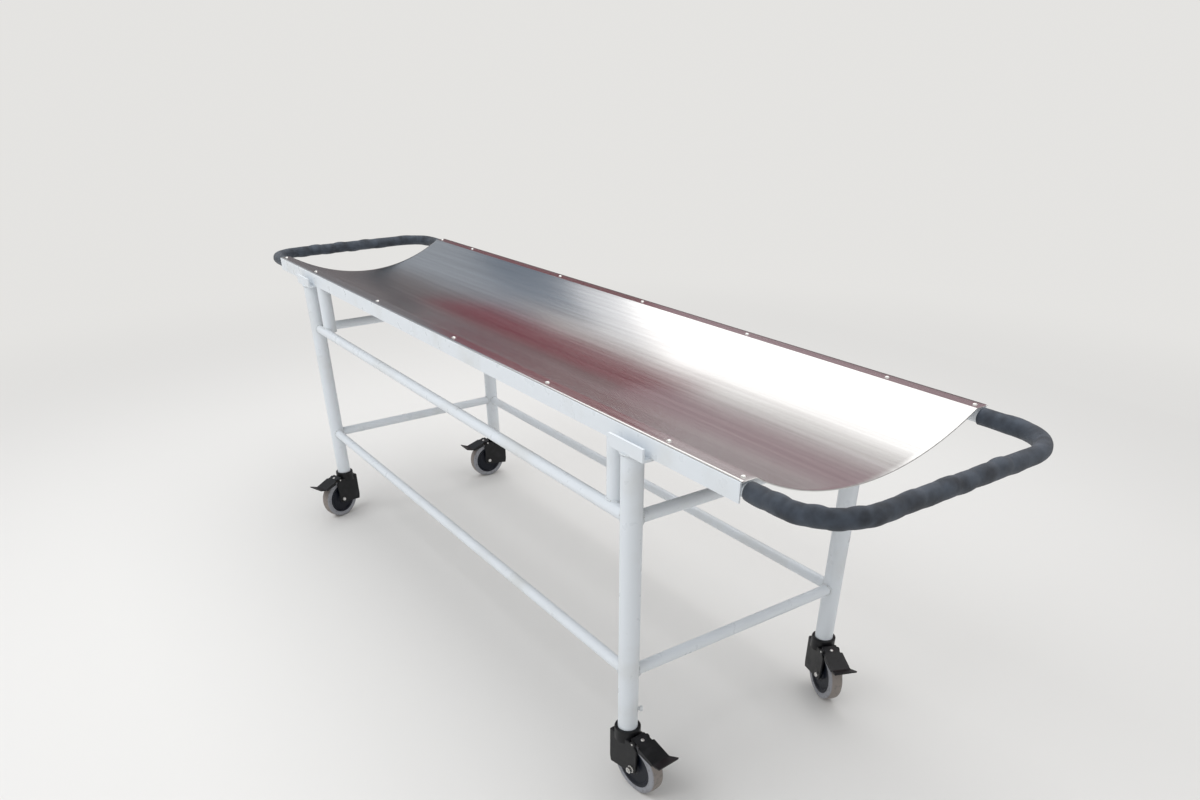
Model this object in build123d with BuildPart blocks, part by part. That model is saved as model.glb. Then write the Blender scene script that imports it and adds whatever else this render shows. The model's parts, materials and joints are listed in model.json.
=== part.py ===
from build123d import *
import math
import os

os.makedirs("parts", exist_ok=True)

# The frame: origin on the floor below the middle of the stand, +X to the front handle,
# +Y to the far side, +Z up. Lengths are in millimetres, angles in degrees.

# Stand tubes
LEG_D = 42.0
LEG_WALL = 2.5
RAIL_D = 25.4
RAIL_WALL = 2.0
POST_D = 38.0
POST_WALL = 2.0
LEG_SPACING_X = 1656.0
LEG_SPACING_Y = 587.0
LOWER_RAIL_Z = 284.0
UPPER_RAIL_DROP = 166.0

# Short posts beside the legs, which stand on the upper side rails
POST_INBOARD_X = 68.0
POST_INBOARD_Y = 16.0

# Stretcher side rails, angle section
DECK_Z = 790.0
RAIL_SPREAD = 589.0
RAIL_LENGTH = 2190.0
ANGLE_FACE = 34.0
ANGLE_FLANGE = 30.0
ANGLE_THICKNESS = 3.0
ANGLE_EDGE_R = 1.5

# Cradle brackets on the leg tops
BRACKET_LENGTH = 99.0
BRACKET_OVERHANG = 54.0
BRACKET_THICKNESS = 4.5
BRACKET_LIP_H = 25.0
BRACKET_LIP_GAP = 14.5
BRACKET_DEPTH = 51.0
BRACKET_BEND_R = 2.0
REST_GAP = 0.1

# Handles and their foam grips
HANDLE_D = 25.4
HANDLE_WALL = 2.0
HANDLE_REACH = 166.0
HANDLE_BEND_R = 95.0
HANDLE_STUB = 85.0
WELD_GAP = 0.1
GRIP_D = 38.0
GRIP_END_GAP = 0.5

# Tray of thin stainless sheet
SHEET = 1.5
TRAY_OVERRUN = 3.0
TRAY_CHORD = 526.0
TRAY_DEPTH = 71.0
TRAY_EDGE_SETBACK = 1.5
HEM_WIDTH = 12.0

# Rivets through the tray's flanges, by their distances from the side rail's nearer end
RIVETS_FROM_REAR = {"near": (12.0, 293.0, 772.0), "far": (12.0, 241.0, 792.0)}
RIVETS_FROM_FRONT = {"near": (12.0, 189.0, 565.0, 972.0), "far": (12.0, 207.0, 602.0, 1000.0)}
RIVET_SETBACK = 17.0
RIVET_HEAD_D = 10.0
RIVET_HEAD_H = 2.6
RIVET_SHANK_D = 4.8

# Casters
WHEEL_D = 125.0
TYRE_WIDTH = 30.0
TYRE_SHOULDER_R = 5.0
TYRE_THICKNESS = 15.5
CORE_RIM = 5.0
CORE_DISH = 3.0
HUB_D = 26.0
HUB_LENGTH = 34.4
TRAIL = 38.0
FORK_INSIDE = 37.0
CHEEK_THICKNESS = 4.0
WHEEL_CLEARANCE = 3.5
CHEEK_EDGE_R = 2.0
FORK_CORNER_R = 3.0
FORK_ARM_R = 13.0
FORK_ARM_FLAT = 4.0
WRAP_ANGLE = 18.0
COLLAR_D = 56.0
COLLAR_RISE = 23.0
COLLAR_HEIGHT = 30.0
COLLAR_EDGE_R = 2.5
SOCKET_DEPTH = 12.0
SOCKET_CLEARANCE = 0.6
HUB_FLOOR = 9.0
RUNNING_CLEARANCE = 0.05
FIT_CLEARANCE = 0.05

# Stems, which are plugged into the legs and carry the casters
STEM_D = 12.0
STEM_FLANGE_D = 25.0
STEM_FLANGE_H = 4.5
STEM_PLUG_LENGTH = 80.0
STEM_PLUG_CLEARANCE = 0.1
THRUST_WASHER = 0.8
THRUST_GAP = 0.2

# Locking bolts through the leg walls
LEG_BOLT_RISE = 55.0
LEG_BOLT_D = 6.5
LEG_BOLT_NECK_D = 8.0
LEG_BOLT_NECK = 4.0
LEG_BOLT_HEAD_D = 14.0
LEG_BOLT_HEAD_H = 5.5
LEG_BOLT_HEAD_TAPER = 18.0
LEG_BOLT_DEPTH = 10.0

# Axles
AXLE_D = 8.0
AXLE_NUT_AF = 13.0
AXLE_NUT_H = 6.5
AXLE_WASHER_D = 17.0
AXLE_WASHER_H = 1.6
AXLE_TIP = 2.4
AXLE_HEAD_D = 12.0
AXLE_HEAD_H = 5.0

# Brake pedals, by their side profile: distance behind the leg's axis, height above the wheel's top
PEDAL_PROFILE = ((31.5, 13.5), (54.0, 10.0), (104.0, -6.0), (128.0, 2.5))
PEDAL_THICKNESS = 3.5
PEDAL_BEND_R = 9.0
PEDAL_WIDTH = 46.0
PEDAL_TIP_WIDTH = 56.0
PEDAL_NECK_CLEARANCE = 0.6
PEDAL_NECK_GAP = 4.5
PEDAL_CORNER_R = 2.0
PEDAL_SKIRT = 9.0
PEDAL_SKIRT_WALL = 2.5
PEDAL_PIN_X = 40.0
PEDAL_PIN_RISE = 6.0
PEDAL_PIN_D = 5.0
PEDAL_PIN_HEAD = 1.2
PEDAL_BARREL_D = 9.0
PEDAL_LUG_D = 13.0
BRAKE_SHOE_X = 64.0
BRAKE_SHOE_LENGTH = 12.0
BRAKE_SHOE_WIDTH = 20.0
BRAKE_SHOE_GAP = 2.8

# Corners of the stand as signs along X and Y, with each caster's resting direction of trail,
# the direction of its locking bolt and the side that its axle nut is on
CORNERS = {
    "near_right": {"x": 1, "y": -1, "trail": 5.0, "bolt": 53.0, "nut": 1},
    "near_left": {"x": -1, "y": -1, "trail": -70.0, "bolt": 160.0, "nut": 1},
    "far_right": {"x": 1, "y": 1, "trail": -22.0, "bolt": 100.0, "nut": -1},
    "far_left": {"x": -1, "y": 1, "trail": -92.0, "bolt": 125.0, "nut": 1},
}
SIDES = {"near": -1, "far": 1}
ENDS = {"front": 1, "rear": -1}

# Sizes that follow from the ones above
UPPER_RAIL_Z = DECK_Z - UPPER_RAIL_DROP
LEG_X = LEG_SPACING_X / 2
LEG_Y = LEG_SPACING_Y / 2
LEG_R = LEG_D / 2
LEG_BORE_R = LEG_R - LEG_WALL
FACE_Y = RAIL_SPREAD / 2
ANGLE_BOTTOM_Z = DECK_Z - ANGLE_FACE
PLATE_TOP_Z = ANGLE_BOTTOM_Z - REST_GAP
PLATE_BOTTOM_Z = PLATE_TOP_Z - BRACKET_THICKNESS
COLLAR_TOP_Z = WHEEL_D + COLLAR_RISE
LEG_BOTTOM_Z = COLLAR_TOP_Z - SOCKET_DEPTH + THRUST_GAP + THRUST_WASHER
LEG_BOLT_Z = LEG_BOTTOM_Z + LEG_BOLT_RISE
POST_X = LEG_X - POST_INBOARD_X
POST_Y = LEG_Y - POST_INBOARD_Y
LIP_OUTER_Y = FACE_Y + BRACKET_LIP_GAP + BRACKET_THICKNESS
HANDLE_R = HANDLE_D / 2
HANDLE_Y = FACE_Y - ANGLE_THICKNESS - WELD_GAP - HANDLE_R
HANDLE_Z = DECK_Z - ANGLE_THICKNESS - WELD_GAP - HANDLE_R
HANDLE_X = RAIL_LENGTH / 2 + HANDLE_REACH
TRAY_HALF = RAIL_LENGTH / 2 + TRAY_OVERRUN
TRAY_R = ((TRAY_CHORD / 2) ** 2 + TRAY_DEPTH**2) / (2 * TRAY_DEPTH)
TRAY_CENTRE_Z = DECK_Z - TRAY_DEPTH + TRAY_R
RIVET_Y = FACE_Y - RIVET_SETBACK
RIVET_POINTS = {
    name: [(x - RAIL_LENGTH / 2, sign * RIVET_Y) for x in RIVETS_FROM_REAR[name]]
    + [(RAIL_LENGTH / 2 - x, sign * RIVET_Y) for x in RIVETS_FROM_FRONT[name]]
    for name, sign in SIDES.items()
}
ALL_RIVET_POINTS = RIVET_POINTS["near"] + RIVET_POINTS["far"]
AXLE_Z = WHEEL_D / 2
CORE_R = WHEEL_D / 2 - TYRE_THICKNESS
HOUSING_R = WHEEL_D / 2 + WHEEL_CLEARANCE
SHELL_R = HOUSING_R + CHEEK_THICKNESS
CHEEK_IN = FORK_INSIDE / 2
CHEEK_OUT = CHEEK_IN + CHEEK_THICKNESS
SOCKET_FLOOR_Z = COLLAR_TOP_Z - SOCKET_DEPTH
HUB_BOTTOM_Z = SOCKET_FLOOR_Z - HUB_FLOOR
PEDAL_PIN_Z = WHEEL_D + PEDAL_PIN_RISE
PEDAL_TOP = tuple((x, WHEEL_D + rise) for x, rise in PEDAL_PROFILE)
PEDAL_NECK_X = PEDAL_PIN_X + FORK_ARM_R + PEDAL_NECK_GAP
PEDAL_SKIRT_END_X = PEDAL_TOP[2][0] - PEDAL_NECK_GAP
PEDAL_SLOPE = (PEDAL_TOP[2][1] - PEDAL_TOP[1][1]) / (PEDAL_TOP[2][0] - PEDAL_TOP[1][0])
BRAKE_SHOE_Z = AXLE_Z + BRAKE_SHOE_GAP + math.sqrt(
    (WHEEL_D / 2) ** 2 - (BRAKE_SHOE_X - BRAKE_SHOE_LENGTH / 2 - TRAIL) ** 2
)


def keep(piece, name):
    piece.part.label = name
    export_step(piece.part, f"parts/{name}.step")


def leg_point(corner):
    return corner["x"] * LEG_X, corner["y"] * LEG_Y


def bolt_plane(corner):
    """Plane on the leg's axis at the locking bolt's height, facing the way the bolt comes out."""
    x, y = leg_point(corner)
    angle = math.radians(corner["bolt"])
    return Plane(origin=(x, y, LEG_BOLT_Z), z_dir=(math.cos(angle), math.sin(angle), 0))


def caster_top(corner):
    """Floor plane of one caster: its X runs from the leg's axis the way the wheel trails."""
    x, y = leg_point(corner)
    angle = math.radians(corner["trail"])
    return Plane(origin=(x, y, 0), x_dir=(math.cos(angle), math.sin(angle), 0), z_dir=(0, 0, 1))


def caster_side(corner):
    """Middle plane of the wheel: X as in caster_top, Y straight up."""
    x, y = leg_point(corner)
    angle = math.radians(corner["trail"])
    trail_dir = (math.cos(angle), math.sin(angle), 0)
    return Plane(origin=(x, y, 0), x_dir=trail_dir, z_dir=(math.sin(angle), -math.cos(angle), 0))


def axle_point(side):
    return side.from_local_coords((TRAIL, AXLE_Z, 0))


# Legs
for name, corner in CORNERS.items():
    x, y = leg_point(corner)
    with BuildPart() as leg:
        with BuildSketch(Plane.XY.offset(LEG_BOTTOM_Z)):
            with Locations((x, y)):
                Circle(LEG_R)
                Circle(LEG_BORE_R, mode=Mode.SUBTRACT)
        extrude(amount=PLATE_BOTTOM_Z - LEG_BOTTOM_Z)
        with BuildSketch(bolt_plane(corner)):
            Circle(LEG_BOLT_D / 2 + FIT_CLEARANCE)
        extrude(amount=LEG_D, mode=Mode.SUBTRACT)
    keep(leg, f"leg_{name}")


# Side rails and end rails, with their ends shaped to sit against the round legs
with BuildPart() as leg_outsides:
    with BuildSketch(Plane.XY):
        with GridLocations(LEG_SPACING_X, LEG_SPACING_Y, 2, 2):
            Circle(LEG_R)
    extrude(amount=DECK_Z)

for level, height in (("lower", LOWER_RAIL_Z), ("upper", UPPER_RAIL_Z)):
    for name, sign in SIDES.items():
        with BuildPart() as side_rail:
            with BuildSketch(Plane.YZ):
                with Locations((sign * LEG_Y, height)):
                    Circle(RAIL_D / 2)
                    Circle(RAIL_D / 2 - RAIL_WALL, mode=Mode.SUBTRACT)
            extrude(amount=LEG_X, both=True)
            add(leg_outsides.part, mode=Mode.SUBTRACT)
        keep(side_rail, f"{level}_side_rail_{name}")
    for name, sign in ENDS.items():
        with BuildPart() as end_rail:
            with BuildSketch(Plane.XZ):
                with Locations((sign * LEG_X, height)):
                    Circle(RAIL_D / 2)
                    Circle(RAIL_D / 2 - RAIL_WALL, mode=Mode.SUBTRACT)
            extrude(amount=LEG_Y, both=True)
            add(leg_outsides.part, mode=Mode.SUBTRACT)
        keep(end_rail, f"{level}_end_rail_{name}")

# Short posts from the upper side rails up to the stretcher's side rails
for name, corner in CORNERS.items():
    with BuildPart() as post:
        with BuildSketch(Plane.XY.offset(UPPER_RAIL_Z)):
            with Locations((corner["x"] * POST_X, corner["y"] * POST_Y)):
                Circle(POST_D / 2)
                Circle(POST_D / 2 - POST_WALL, mode=Mode.SUBTRACT)
        extrude(amount=PLATE_TOP_Z - UPPER_RAIL_Z)
        with BuildSketch(Plane.YZ):
            with Locations((corner["y"] * LEG_Y, UPPER_RAIL_Z)):
                Circle(RAIL_D / 2)
        extrude(amount=LEG_X, both=True, mode=Mode.SUBTRACT)
    keep(post, f"post_{name}")

# Cradle brackets: a plate across the leg's top with an upright lip outside the stretcher's rail
for name, corner in CORNERS.items():
    outer_end = corner["x"] * (LEG_X + BRACKET_OVERHANG)
    with BuildPart() as bracket:
        with BuildSketch(Plane.YZ.offset(outer_end)):
            with BuildLine():
                Polyline(
                    (corner["y"] * (LIP_OUTER_Y - BRACKET_DEPTH), PLATE_BOTTOM_Z),
                    (corner["y"] * LIP_OUTER_Y, PLATE_BOTTOM_Z),
                    (corner["y"] * LIP_OUTER_Y, PLATE_BOTTOM_Z + BRACKET_LIP_H),
                    (corner["y"] * (LIP_OUTER_Y - BRACKET_THICKNESS), PLATE_BOTTOM_Z + BRACKET_LIP_H),
                    (corner["y"] * (LIP_OUTER_Y - BRACKET_THICKNESS), PLATE_TOP_Z),
                    (corner["y"] * (LIP_OUTER_Y - BRACKET_DEPTH), PLATE_TOP_Z),
                    close=True,
                )
            make_face()
        extrude(amount=-corner["x"] * BRACKET_LENGTH)
        outer = bracket.edges().filter_by(Axis.X).group_by(Axis.Z)[0]
        fillet(outer.sort_by(Axis.Y)[-1 if corner["y"] > 0 else 0], BRACKET_BEND_R)
    keep(bracket, f"cradle_bracket_{name}")

# Locking bolts, one through each leg's wall into the stem's plug
with BuildPart() as leg_bolts:
    for corner in CORNERS.values():
        seat = bolt_plane(corner)
        with BuildSketch(seat.offset(LEG_BOLT_DEPTH)):
            Circle(LEG_BOLT_D / 2)
        extrude(amount=LEG_R - LEG_BOLT_DEPTH)
        with BuildSketch(seat.offset(LEG_R)):
            Circle(LEG_BOLT_NECK_D / 2)
        extrude(amount=LEG_BOLT_NECK)
        with BuildSketch(seat.offset(LEG_R + LEG_BOLT_NECK)):
            Circle(LEG_BOLT_HEAD_D / 2)
        extrude(amount=LEG_BOLT_HEAD_H, taper=LEG_BOLT_HEAD_TAPER)
keep(leg_bolts, "leg_bolts")

# Stems: a plug inside the leg, a thrust washer under its end, a shank and a flange that holds
# the caster's hub up
for name, corner in CORNERS.items():
    top = caster_top(corner)
    flange_z = HUB_BOTTOM_Z - THRUST_GAP - STEM_FLANGE_H
    with BuildPart() as stem:
        with BuildSketch(top.offset(flange_z)):
            Circle(STEM_FLANGE_D / 2)
        extrude(amount=STEM_FLANGE_H)
        with BuildSketch(top.offset(flange_z)):
            Circle(STEM_D / 2)
        extrude(amount=LEG_BOTTOM_Z - flange_z)
        with BuildSketch(top.offset(LEG_BOTTOM_Z - THRUST_WASHER)):
            Circle(LEG_R)
        extrude(amount=THRUST_WASHER)
        with BuildSketch(top.offset(LEG_BOTTOM_Z)):
            Circle(LEG_BORE_R - STEM_PLUG_CLEARANCE)
        extrude(amount=STEM_PLUG_LENGTH)
        with BuildSketch(bolt_plane(corner)):
            Circle(LEG_BOLT_D / 2 + FIT_CLEARANCE)
        extrude(amount=LEG_D, mode=Mode.SUBTRACT)
    keep(stem, f"stem_{name}")

# Stretcher side rails, angle section with the face outside and the flange on top
for name, sign in SIDES.items():
    with BuildPart() as angle:
        with BuildSketch(Plane.YZ):
            with BuildLine():
                Polyline(
                    (sign * FACE_Y, ANGLE_BOTTOM_Z),
                    (sign * FACE_Y, DECK_Z),
                    (sign * (FACE_Y - ANGLE_FLANGE), DECK_Z),
                    (sign * (FACE_Y - ANGLE_FLANGE), DECK_Z - ANGLE_THICKNESS),
                    (sign * (FACE_Y - ANGLE_THICKNESS), DECK_Z - ANGLE_THICKNESS),
                    (sign * (FACE_Y - ANGLE_THICKNESS), ANGLE_BOTTOM_Z),
                    close=True,
                )
            make_face()
        extrude(amount=RAIL_LENGTH / 2, both=True)
        with BuildSketch(Plane.XY.offset(DECK_Z)):
            with Locations(*RIVET_POINTS[name]):
                Circle(RIVET_SHANK_D / 2 + FIT_CLEARANCE)
        extrude(amount=-ANGLE_THICKNESS, mode=Mode.SUBTRACT)
        top_edges = angle.edges().filter_by(Axis.X).group_by(Axis.Z)[-1].sort_by(Axis.Y)
        fillet(top_edges[-1 if sign > 0 else 0], ANGLE_EDGE_R)
    keep(angle, f"stretcher_rail_{name}")


# Handles and grips share one U-shaped route
def handle_route(sign, start_x):
    return FilletPolyline(
        (sign * start_x, -HANDLE_Y, HANDLE_Z),
        (sign * HANDLE_X, -HANDLE_Y, HANDLE_Z),
        (sign * HANDLE_X, HANDLE_Y, HANDLE_Z),
        (sign * start_x, HANDLE_Y, HANDLE_Z),
        radius=HANDLE_BEND_R,
    )


def round_tube(sign, start_x, outer_r, inner_r):
    with BuildPart() as tube:
        with BuildLine():
            handle_route(sign, start_x)
        with BuildSketch(Plane(origin=(sign * start_x, -HANDLE_Y, HANDLE_Z), z_dir=(sign, 0, 0))):
            Circle(outer_r)
            Circle(inner_r, mode=Mode.SUBTRACT)
        sweep()
    return tube


for name, sign in ENDS.items():
    handle = round_tube(sign, RAIL_LENGTH / 2 - HANDLE_STUB, HANDLE_R, HANDLE_R - HANDLE_WALL)
    keep(handle, f"handle_{name}")
    grip = round_tube(sign, TRAY_HALF + GRIP_END_GAP, GRIP_D / 2, HANDLE_R + FIT_CLEARANCE)
    keep(grip, f"grip_{name}")


# Tray: a rolled trough with a flat flange along each side and a folded hem at each end
def trough_edge(radius, level):
    """Half width of the trough's arc of this radius at this height."""
    return math.sqrt(radius**2 - (TRAY_CENTRE_Z - level) ** 2)


def trough_band(outer_r, inner_r, level_low, level_high):
    """Face between two arcs about the trough's axis, closed along its two upper edges."""
    low_half = trough_edge(outer_r, level_low)
    high_half = trough_edge(inner_r, level_high)
    low_middle = TRAY_CENTRE_Z - outer_r
    high_middle = TRAY_CENTRE_Z - inner_r
    with BuildSketch() as band:
        with BuildLine():
            ThreePointArc((-low_half, level_low), (0, low_middle), (low_half, level_low))
            Line((low_half, level_low), (high_half, level_high))
            ThreePointArc((high_half, level_high), (0, high_middle), (-high_half, level_high))
            Line((-high_half, level_high), (-low_half, level_low))
        make_face()
    return band.sketch


with BuildPart() as tray:
    with BuildSketch(Plane.YZ):
        add(trough_band(TRAY_R, TRAY_R - SHEET, DECK_Z, DECK_Z + SHEET))
        for sign in SIDES.values():
            with BuildLine():
                Polyline(
                    (sign * trough_edge(TRAY_R, DECK_Z), DECK_Z),
                    (sign * (FACE_Y - TRAY_EDGE_SETBACK), DECK_Z),
                    (sign * (FACE_Y - TRAY_EDGE_SETBACK), DECK_Z + SHEET),
                    (sign * trough_edge(TRAY_R - SHEET, DECK_Z + SHEET), DECK_Z + SHEET),
                    close=True,
                )
            make_face()
    extrude(amount=TRAY_HALF, both=True)
    for sign in ENDS.values():
        hem_top = DECK_Z - ANGLE_THICKNESS - SHEET
        with BuildSketch(Plane.YZ.offset(sign * TRAY_HALF)):
            add(trough_band(TRAY_R + SHEET, TRAY_R, hem_top, hem_top))
        extrude(amount=-sign * HEM_WIDTH)
    with BuildSketch(Plane.XY.offset(DECK_Z + SHEET)):
        with Locations(*ALL_RIVET_POINTS):
            Circle(RIVET_SHANK_D / 2 + FIT_CLEARANCE)
    extrude(amount=-SHEET, mode=Mode.SUBTRACT)
keep(tray, "tray")

# Rivets: domed heads on the tray's flanges, shanks down through the angle's flange
with BuildPart() as rivet_form:
    with BuildSketch(Plane.XZ):
        with BuildLine():
            Polyline(
                (RIVET_HEAD_D / 2, 0),
                (RIVET_SHANK_D / 2, 0),
                (RIVET_SHANK_D / 2, -SHEET - ANGLE_THICKNESS),
                (0, -SHEET - ANGLE_THICKNESS),
                (0, RIVET_HEAD_H),
            )
            RadiusArc(
                (0, RIVET_HEAD_H),
                (RIVET_HEAD_D / 2, 0),
                ((RIVET_HEAD_D / 2) ** 2 + RIVET_HEAD_H**2) / (2 * RIVET_HEAD_H),
            )
        make_face()
    revolve(axis=Axis.Z)
with BuildPart() as rivets:
    with Locations(*((x, y, DECK_Z + SHEET) for x, y in ALL_RIVET_POINTS)):
        add(rivet_form.part)
keep(rivets, "rivets")


# Caster housings: two cheeks, a wrap around the leading side of the wheel, and a collar
def fork_outline():
    """Side view of the moulded fork, from the collar round the leading side to the pedal's lug."""
    lead_x = TRAIL - SHELL_R
    wrap = math.radians(WRAP_ANGLE)
    foot = (TRAIL - SHELL_R * math.cos(wrap), AXLE_Z - SHELL_R * math.sin(wrap))
    middle = (TRAIL - SHELL_R * math.cos(wrap / 2), AXLE_Z - SHELL_R * math.sin(wrap / 2))
    arm_low = (TRAIL - FORK_ARM_FLAT, AXLE_Z - FORK_ARM_R)
    arm_back = (TRAIL + FORK_ARM_R, AXLE_Z)
    shoulder = (PEDAL_PIN_X + FORK_ARM_R, PEDAL_PIN_Z - FORK_ARM_R)
    with BuildSketch() as outline:
        with BuildLine():
            Line((lead_x, PEDAL_PIN_Z), (lead_x, AXLE_Z))
            ThreePointArc((lead_x, AXLE_Z), middle, foot)
            Line(foot, arm_low)
            Line(arm_low, (TRAIL, AXLE_Z - FORK_ARM_R))
            JernArc((TRAIL, AXLE_Z - FORK_ARM_R), (1, 0), FORK_ARM_R, 90)
            Line(arm_back, shoulder)
            Line(shoulder, (PEDAL_PIN_X, PEDAL_PIN_Z))
            Line((PEDAL_PIN_X, PEDAL_PIN_Z), (lead_x, PEDAL_PIN_Z))
        make_face()
        with Locations((PEDAL_PIN_X, PEDAL_PIN_Z)):
            Circle(PEDAL_LUG_D / 2)
        fillet(outline.vertices(), FORK_CORNER_R)
    return outline.sketch


for name, corner in CORNERS.items():
    top = caster_top(corner)
    side = caster_side(corner)
    with BuildPart() as housing:
        with BuildSketch(side):
            add(fork_outline())
        extrude(amount=CHEEK_OUT, both=True)
        cheek_faces = housing.faces().sort_by(Axis(side.origin, side.z_dir))
        fillet(cheek_faces[0].edges() + cheek_faces[-1].edges(), CHEEK_EDGE_R)
        with BuildSketch(top.offset(COLLAR_TOP_Z - COLLAR_HEIGHT)):
            Circle(COLLAR_D / 2)
        extrude(amount=COLLAR_HEIGHT)
        fillet(housing.faces().sort_by(Axis.Z)[-1].edges(), COLLAR_EDGE_R)
        with BuildSketch(side):
            with Locations((TRAIL, AXLE_Z)):
                Circle(HOUSING_R)
            with Locations((COLLAR_D / 2, 0)):
                Rectangle(SHELL_R, COLLAR_TOP_Z, align=(Align.MIN, Align.MIN))
        extrude(amount=CHEEK_IN, both=True, mode=Mode.SUBTRACT)
        with BuildSketch(top.offset(SOCKET_FLOOR_Z)):
            Circle(LEG_R + SOCKET_CLEARANCE)
        extrude(amount=SOCKET_DEPTH, mode=Mode.SUBTRACT)
        with BuildSketch(top):
            Circle(STEM_D / 2 + RUNNING_CLEARANCE)
        extrude(amount=SOCKET_FLOOR_Z, mode=Mode.SUBTRACT)
        with BuildSketch(top.offset(HUB_BOTTOM_Z)):
            Circle(STEM_FLANGE_D / 2 + SOCKET_CLEARANCE)
        extrude(amount=-COLLAR_HEIGHT, mode=Mode.SUBTRACT)
        with BuildSketch(side):
            with Locations((TRAIL, AXLE_Z)):
                Circle(AXLE_D / 2 + FIT_CLEARANCE)
            with Locations((PEDAL_PIN_X, PEDAL_PIN_Z)):
                Circle(PEDAL_PIN_D / 2 + FIT_CLEARANCE)
        extrude(amount=CHEEK_OUT, both=True, mode=Mode.SUBTRACT)
    keep(housing, f"caster_housing_{name}")

# Axles: a bolt with a domed head on one side, a washer and a nut on the other
for name, corner in CORNERS.items():
    side = caster_side(corner)
    centre = axle_point(side)
    nut_side = Plane(origin=centre, x_dir=side.x_dir, z_dir=side.z_dir * corner["nut"])
    head_side = Plane(origin=centre, x_dir=side.x_dir, z_dir=side.z_dir * -corner["nut"])
    with BuildPart() as axle:
        with BuildSketch(head_side.offset(CHEEK_OUT)):
            Circle(AXLE_D / 2)
        extrude(amount=-2 * CHEEK_OUT - AXLE_WASHER_H - AXLE_NUT_H - AXLE_TIP)
        with BuildSketch(head_side.offset(CHEEK_OUT)):
            Circle(AXLE_HEAD_D / 2)
        extrude(amount=AXLE_HEAD_H)
        fillet(axle.faces().sort_by(Axis(centre, head_side.z_dir))[-1].edges(), AXLE_HEAD_H / 2)
        with BuildSketch(nut_side.offset(CHEEK_OUT)):
            Circle(AXLE_WASHER_D / 2)
        extrude(amount=AXLE_WASHER_H)
        with BuildSketch(nut_side.offset(CHEEK_OUT + AXLE_WASHER_H)):
            RegularPolygon(AXLE_NUT_AF / 2, 6, major_radius=False)
        extrude(amount=AXLE_NUT_H)
    keep(axle, f"axle_{name}")


# Wheels: a dished core that turns on the axle, and a tyre around it
def axial_plane(side):
    """Plane through the axle: its X along the axle, its Y straight up from the axle's centre."""
    return Plane(origin=axle_point(side), x_dir=side.z_dir, z_dir=-side.x_dir)


for name, corner in CORNERS.items():
    side = caster_side(corner)
    axle_line = Axis(axle_point(side), side.z_dir)
    rim_half = TYRE_WIDTH / 2
    web_half = rim_half - CORE_DISH
    with BuildPart() as core:
        with BuildSketch(axial_plane(side)):
            for sign in (-1, 1):
                with BuildLine():
                    Polyline(
                        (0, AXLE_D / 2 + RUNNING_CLEARANCE),
                        (sign * HUB_LENGTH / 2, AXLE_D / 2 + RUNNING_CLEARANCE),
                        (sign * HUB_LENGTH / 2, HUB_D / 2 - CORE_DISH),
                        (sign * web_half, HUB_D / 2 + CORE_DISH),
                        (sign * web_half, CORE_R - CORE_RIM - CORE_DISH),
                        (sign * rim_half, CORE_R - CORE_RIM),
                        (sign * rim_half, CORE_R),
                        (0, CORE_R),
                        close=True,
                    )
                make_face()
        revolve(axis=axle_line)
    keep(core, f"wheel_core_{name}")

    with BuildPart() as tyre:
        with BuildSketch(axial_plane(side)):
            with Locations((0, CORE_R + TYRE_THICKNESS / 2)):
                band = Rectangle(TYRE_WIDTH, TYRE_THICKNESS)
            fillet(band.vertices().sort_by(Axis.Y)[-2:], TYRE_SHOULDER_R)
        revolve(axis=axle_line)
    keep(tyre, f"tyre_{name}")


# Brake pedals: a bent plate hinged between the fork's lugs, with a brake shoe above the wheel
def pedal_profile():
    underside = ((x, z - PEDAL_THICKNESS) for x, z in PEDAL_TOP)
    with BuildSketch() as profile:
        with BuildLine():
            upper = FilletPolyline(*PEDAL_TOP, radius=PEDAL_BEND_R)
            lower = FilletPolyline(*underside, radius=PEDAL_BEND_R)
            Line(upper @ 0, lower @ 0)
            Line(upper @ 1, lower @ 1)
        make_face()
    return profile.sketch


def pedal_top_at(x):
    """Height of the pedal's sloping top at this distance behind the leg's axis."""
    return PEDAL_TOP[1][1] + PEDAL_SLOPE * (x - PEDAL_TOP[1][0])


def pedal_plan():
    neck = CHEEK_IN - PEDAL_NECK_CLEARANCE
    tip_x = PEDAL_TOP[-1][0]
    wing_x = PEDAL_TOP[-2][0]
    half = PEDAL_WIDTH / 2
    with BuildSketch() as plan:
        with BuildLine():
            Polyline(
                (0, -neck), (PEDAL_NECK_X, -neck), (PEDAL_NECK_X, -half), (wing_x, -half),
                (tip_x, -PEDAL_TIP_WIDTH / 2), (tip_x, PEDAL_TIP_WIDTH / 2),
                (wing_x, half), (PEDAL_NECK_X, half), (PEDAL_NECK_X, neck), (0, neck),
                close=True,
            )
        make_face()
        fillet(plan.vertices(), PEDAL_CORNER_R)
    return plan.sketch


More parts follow.
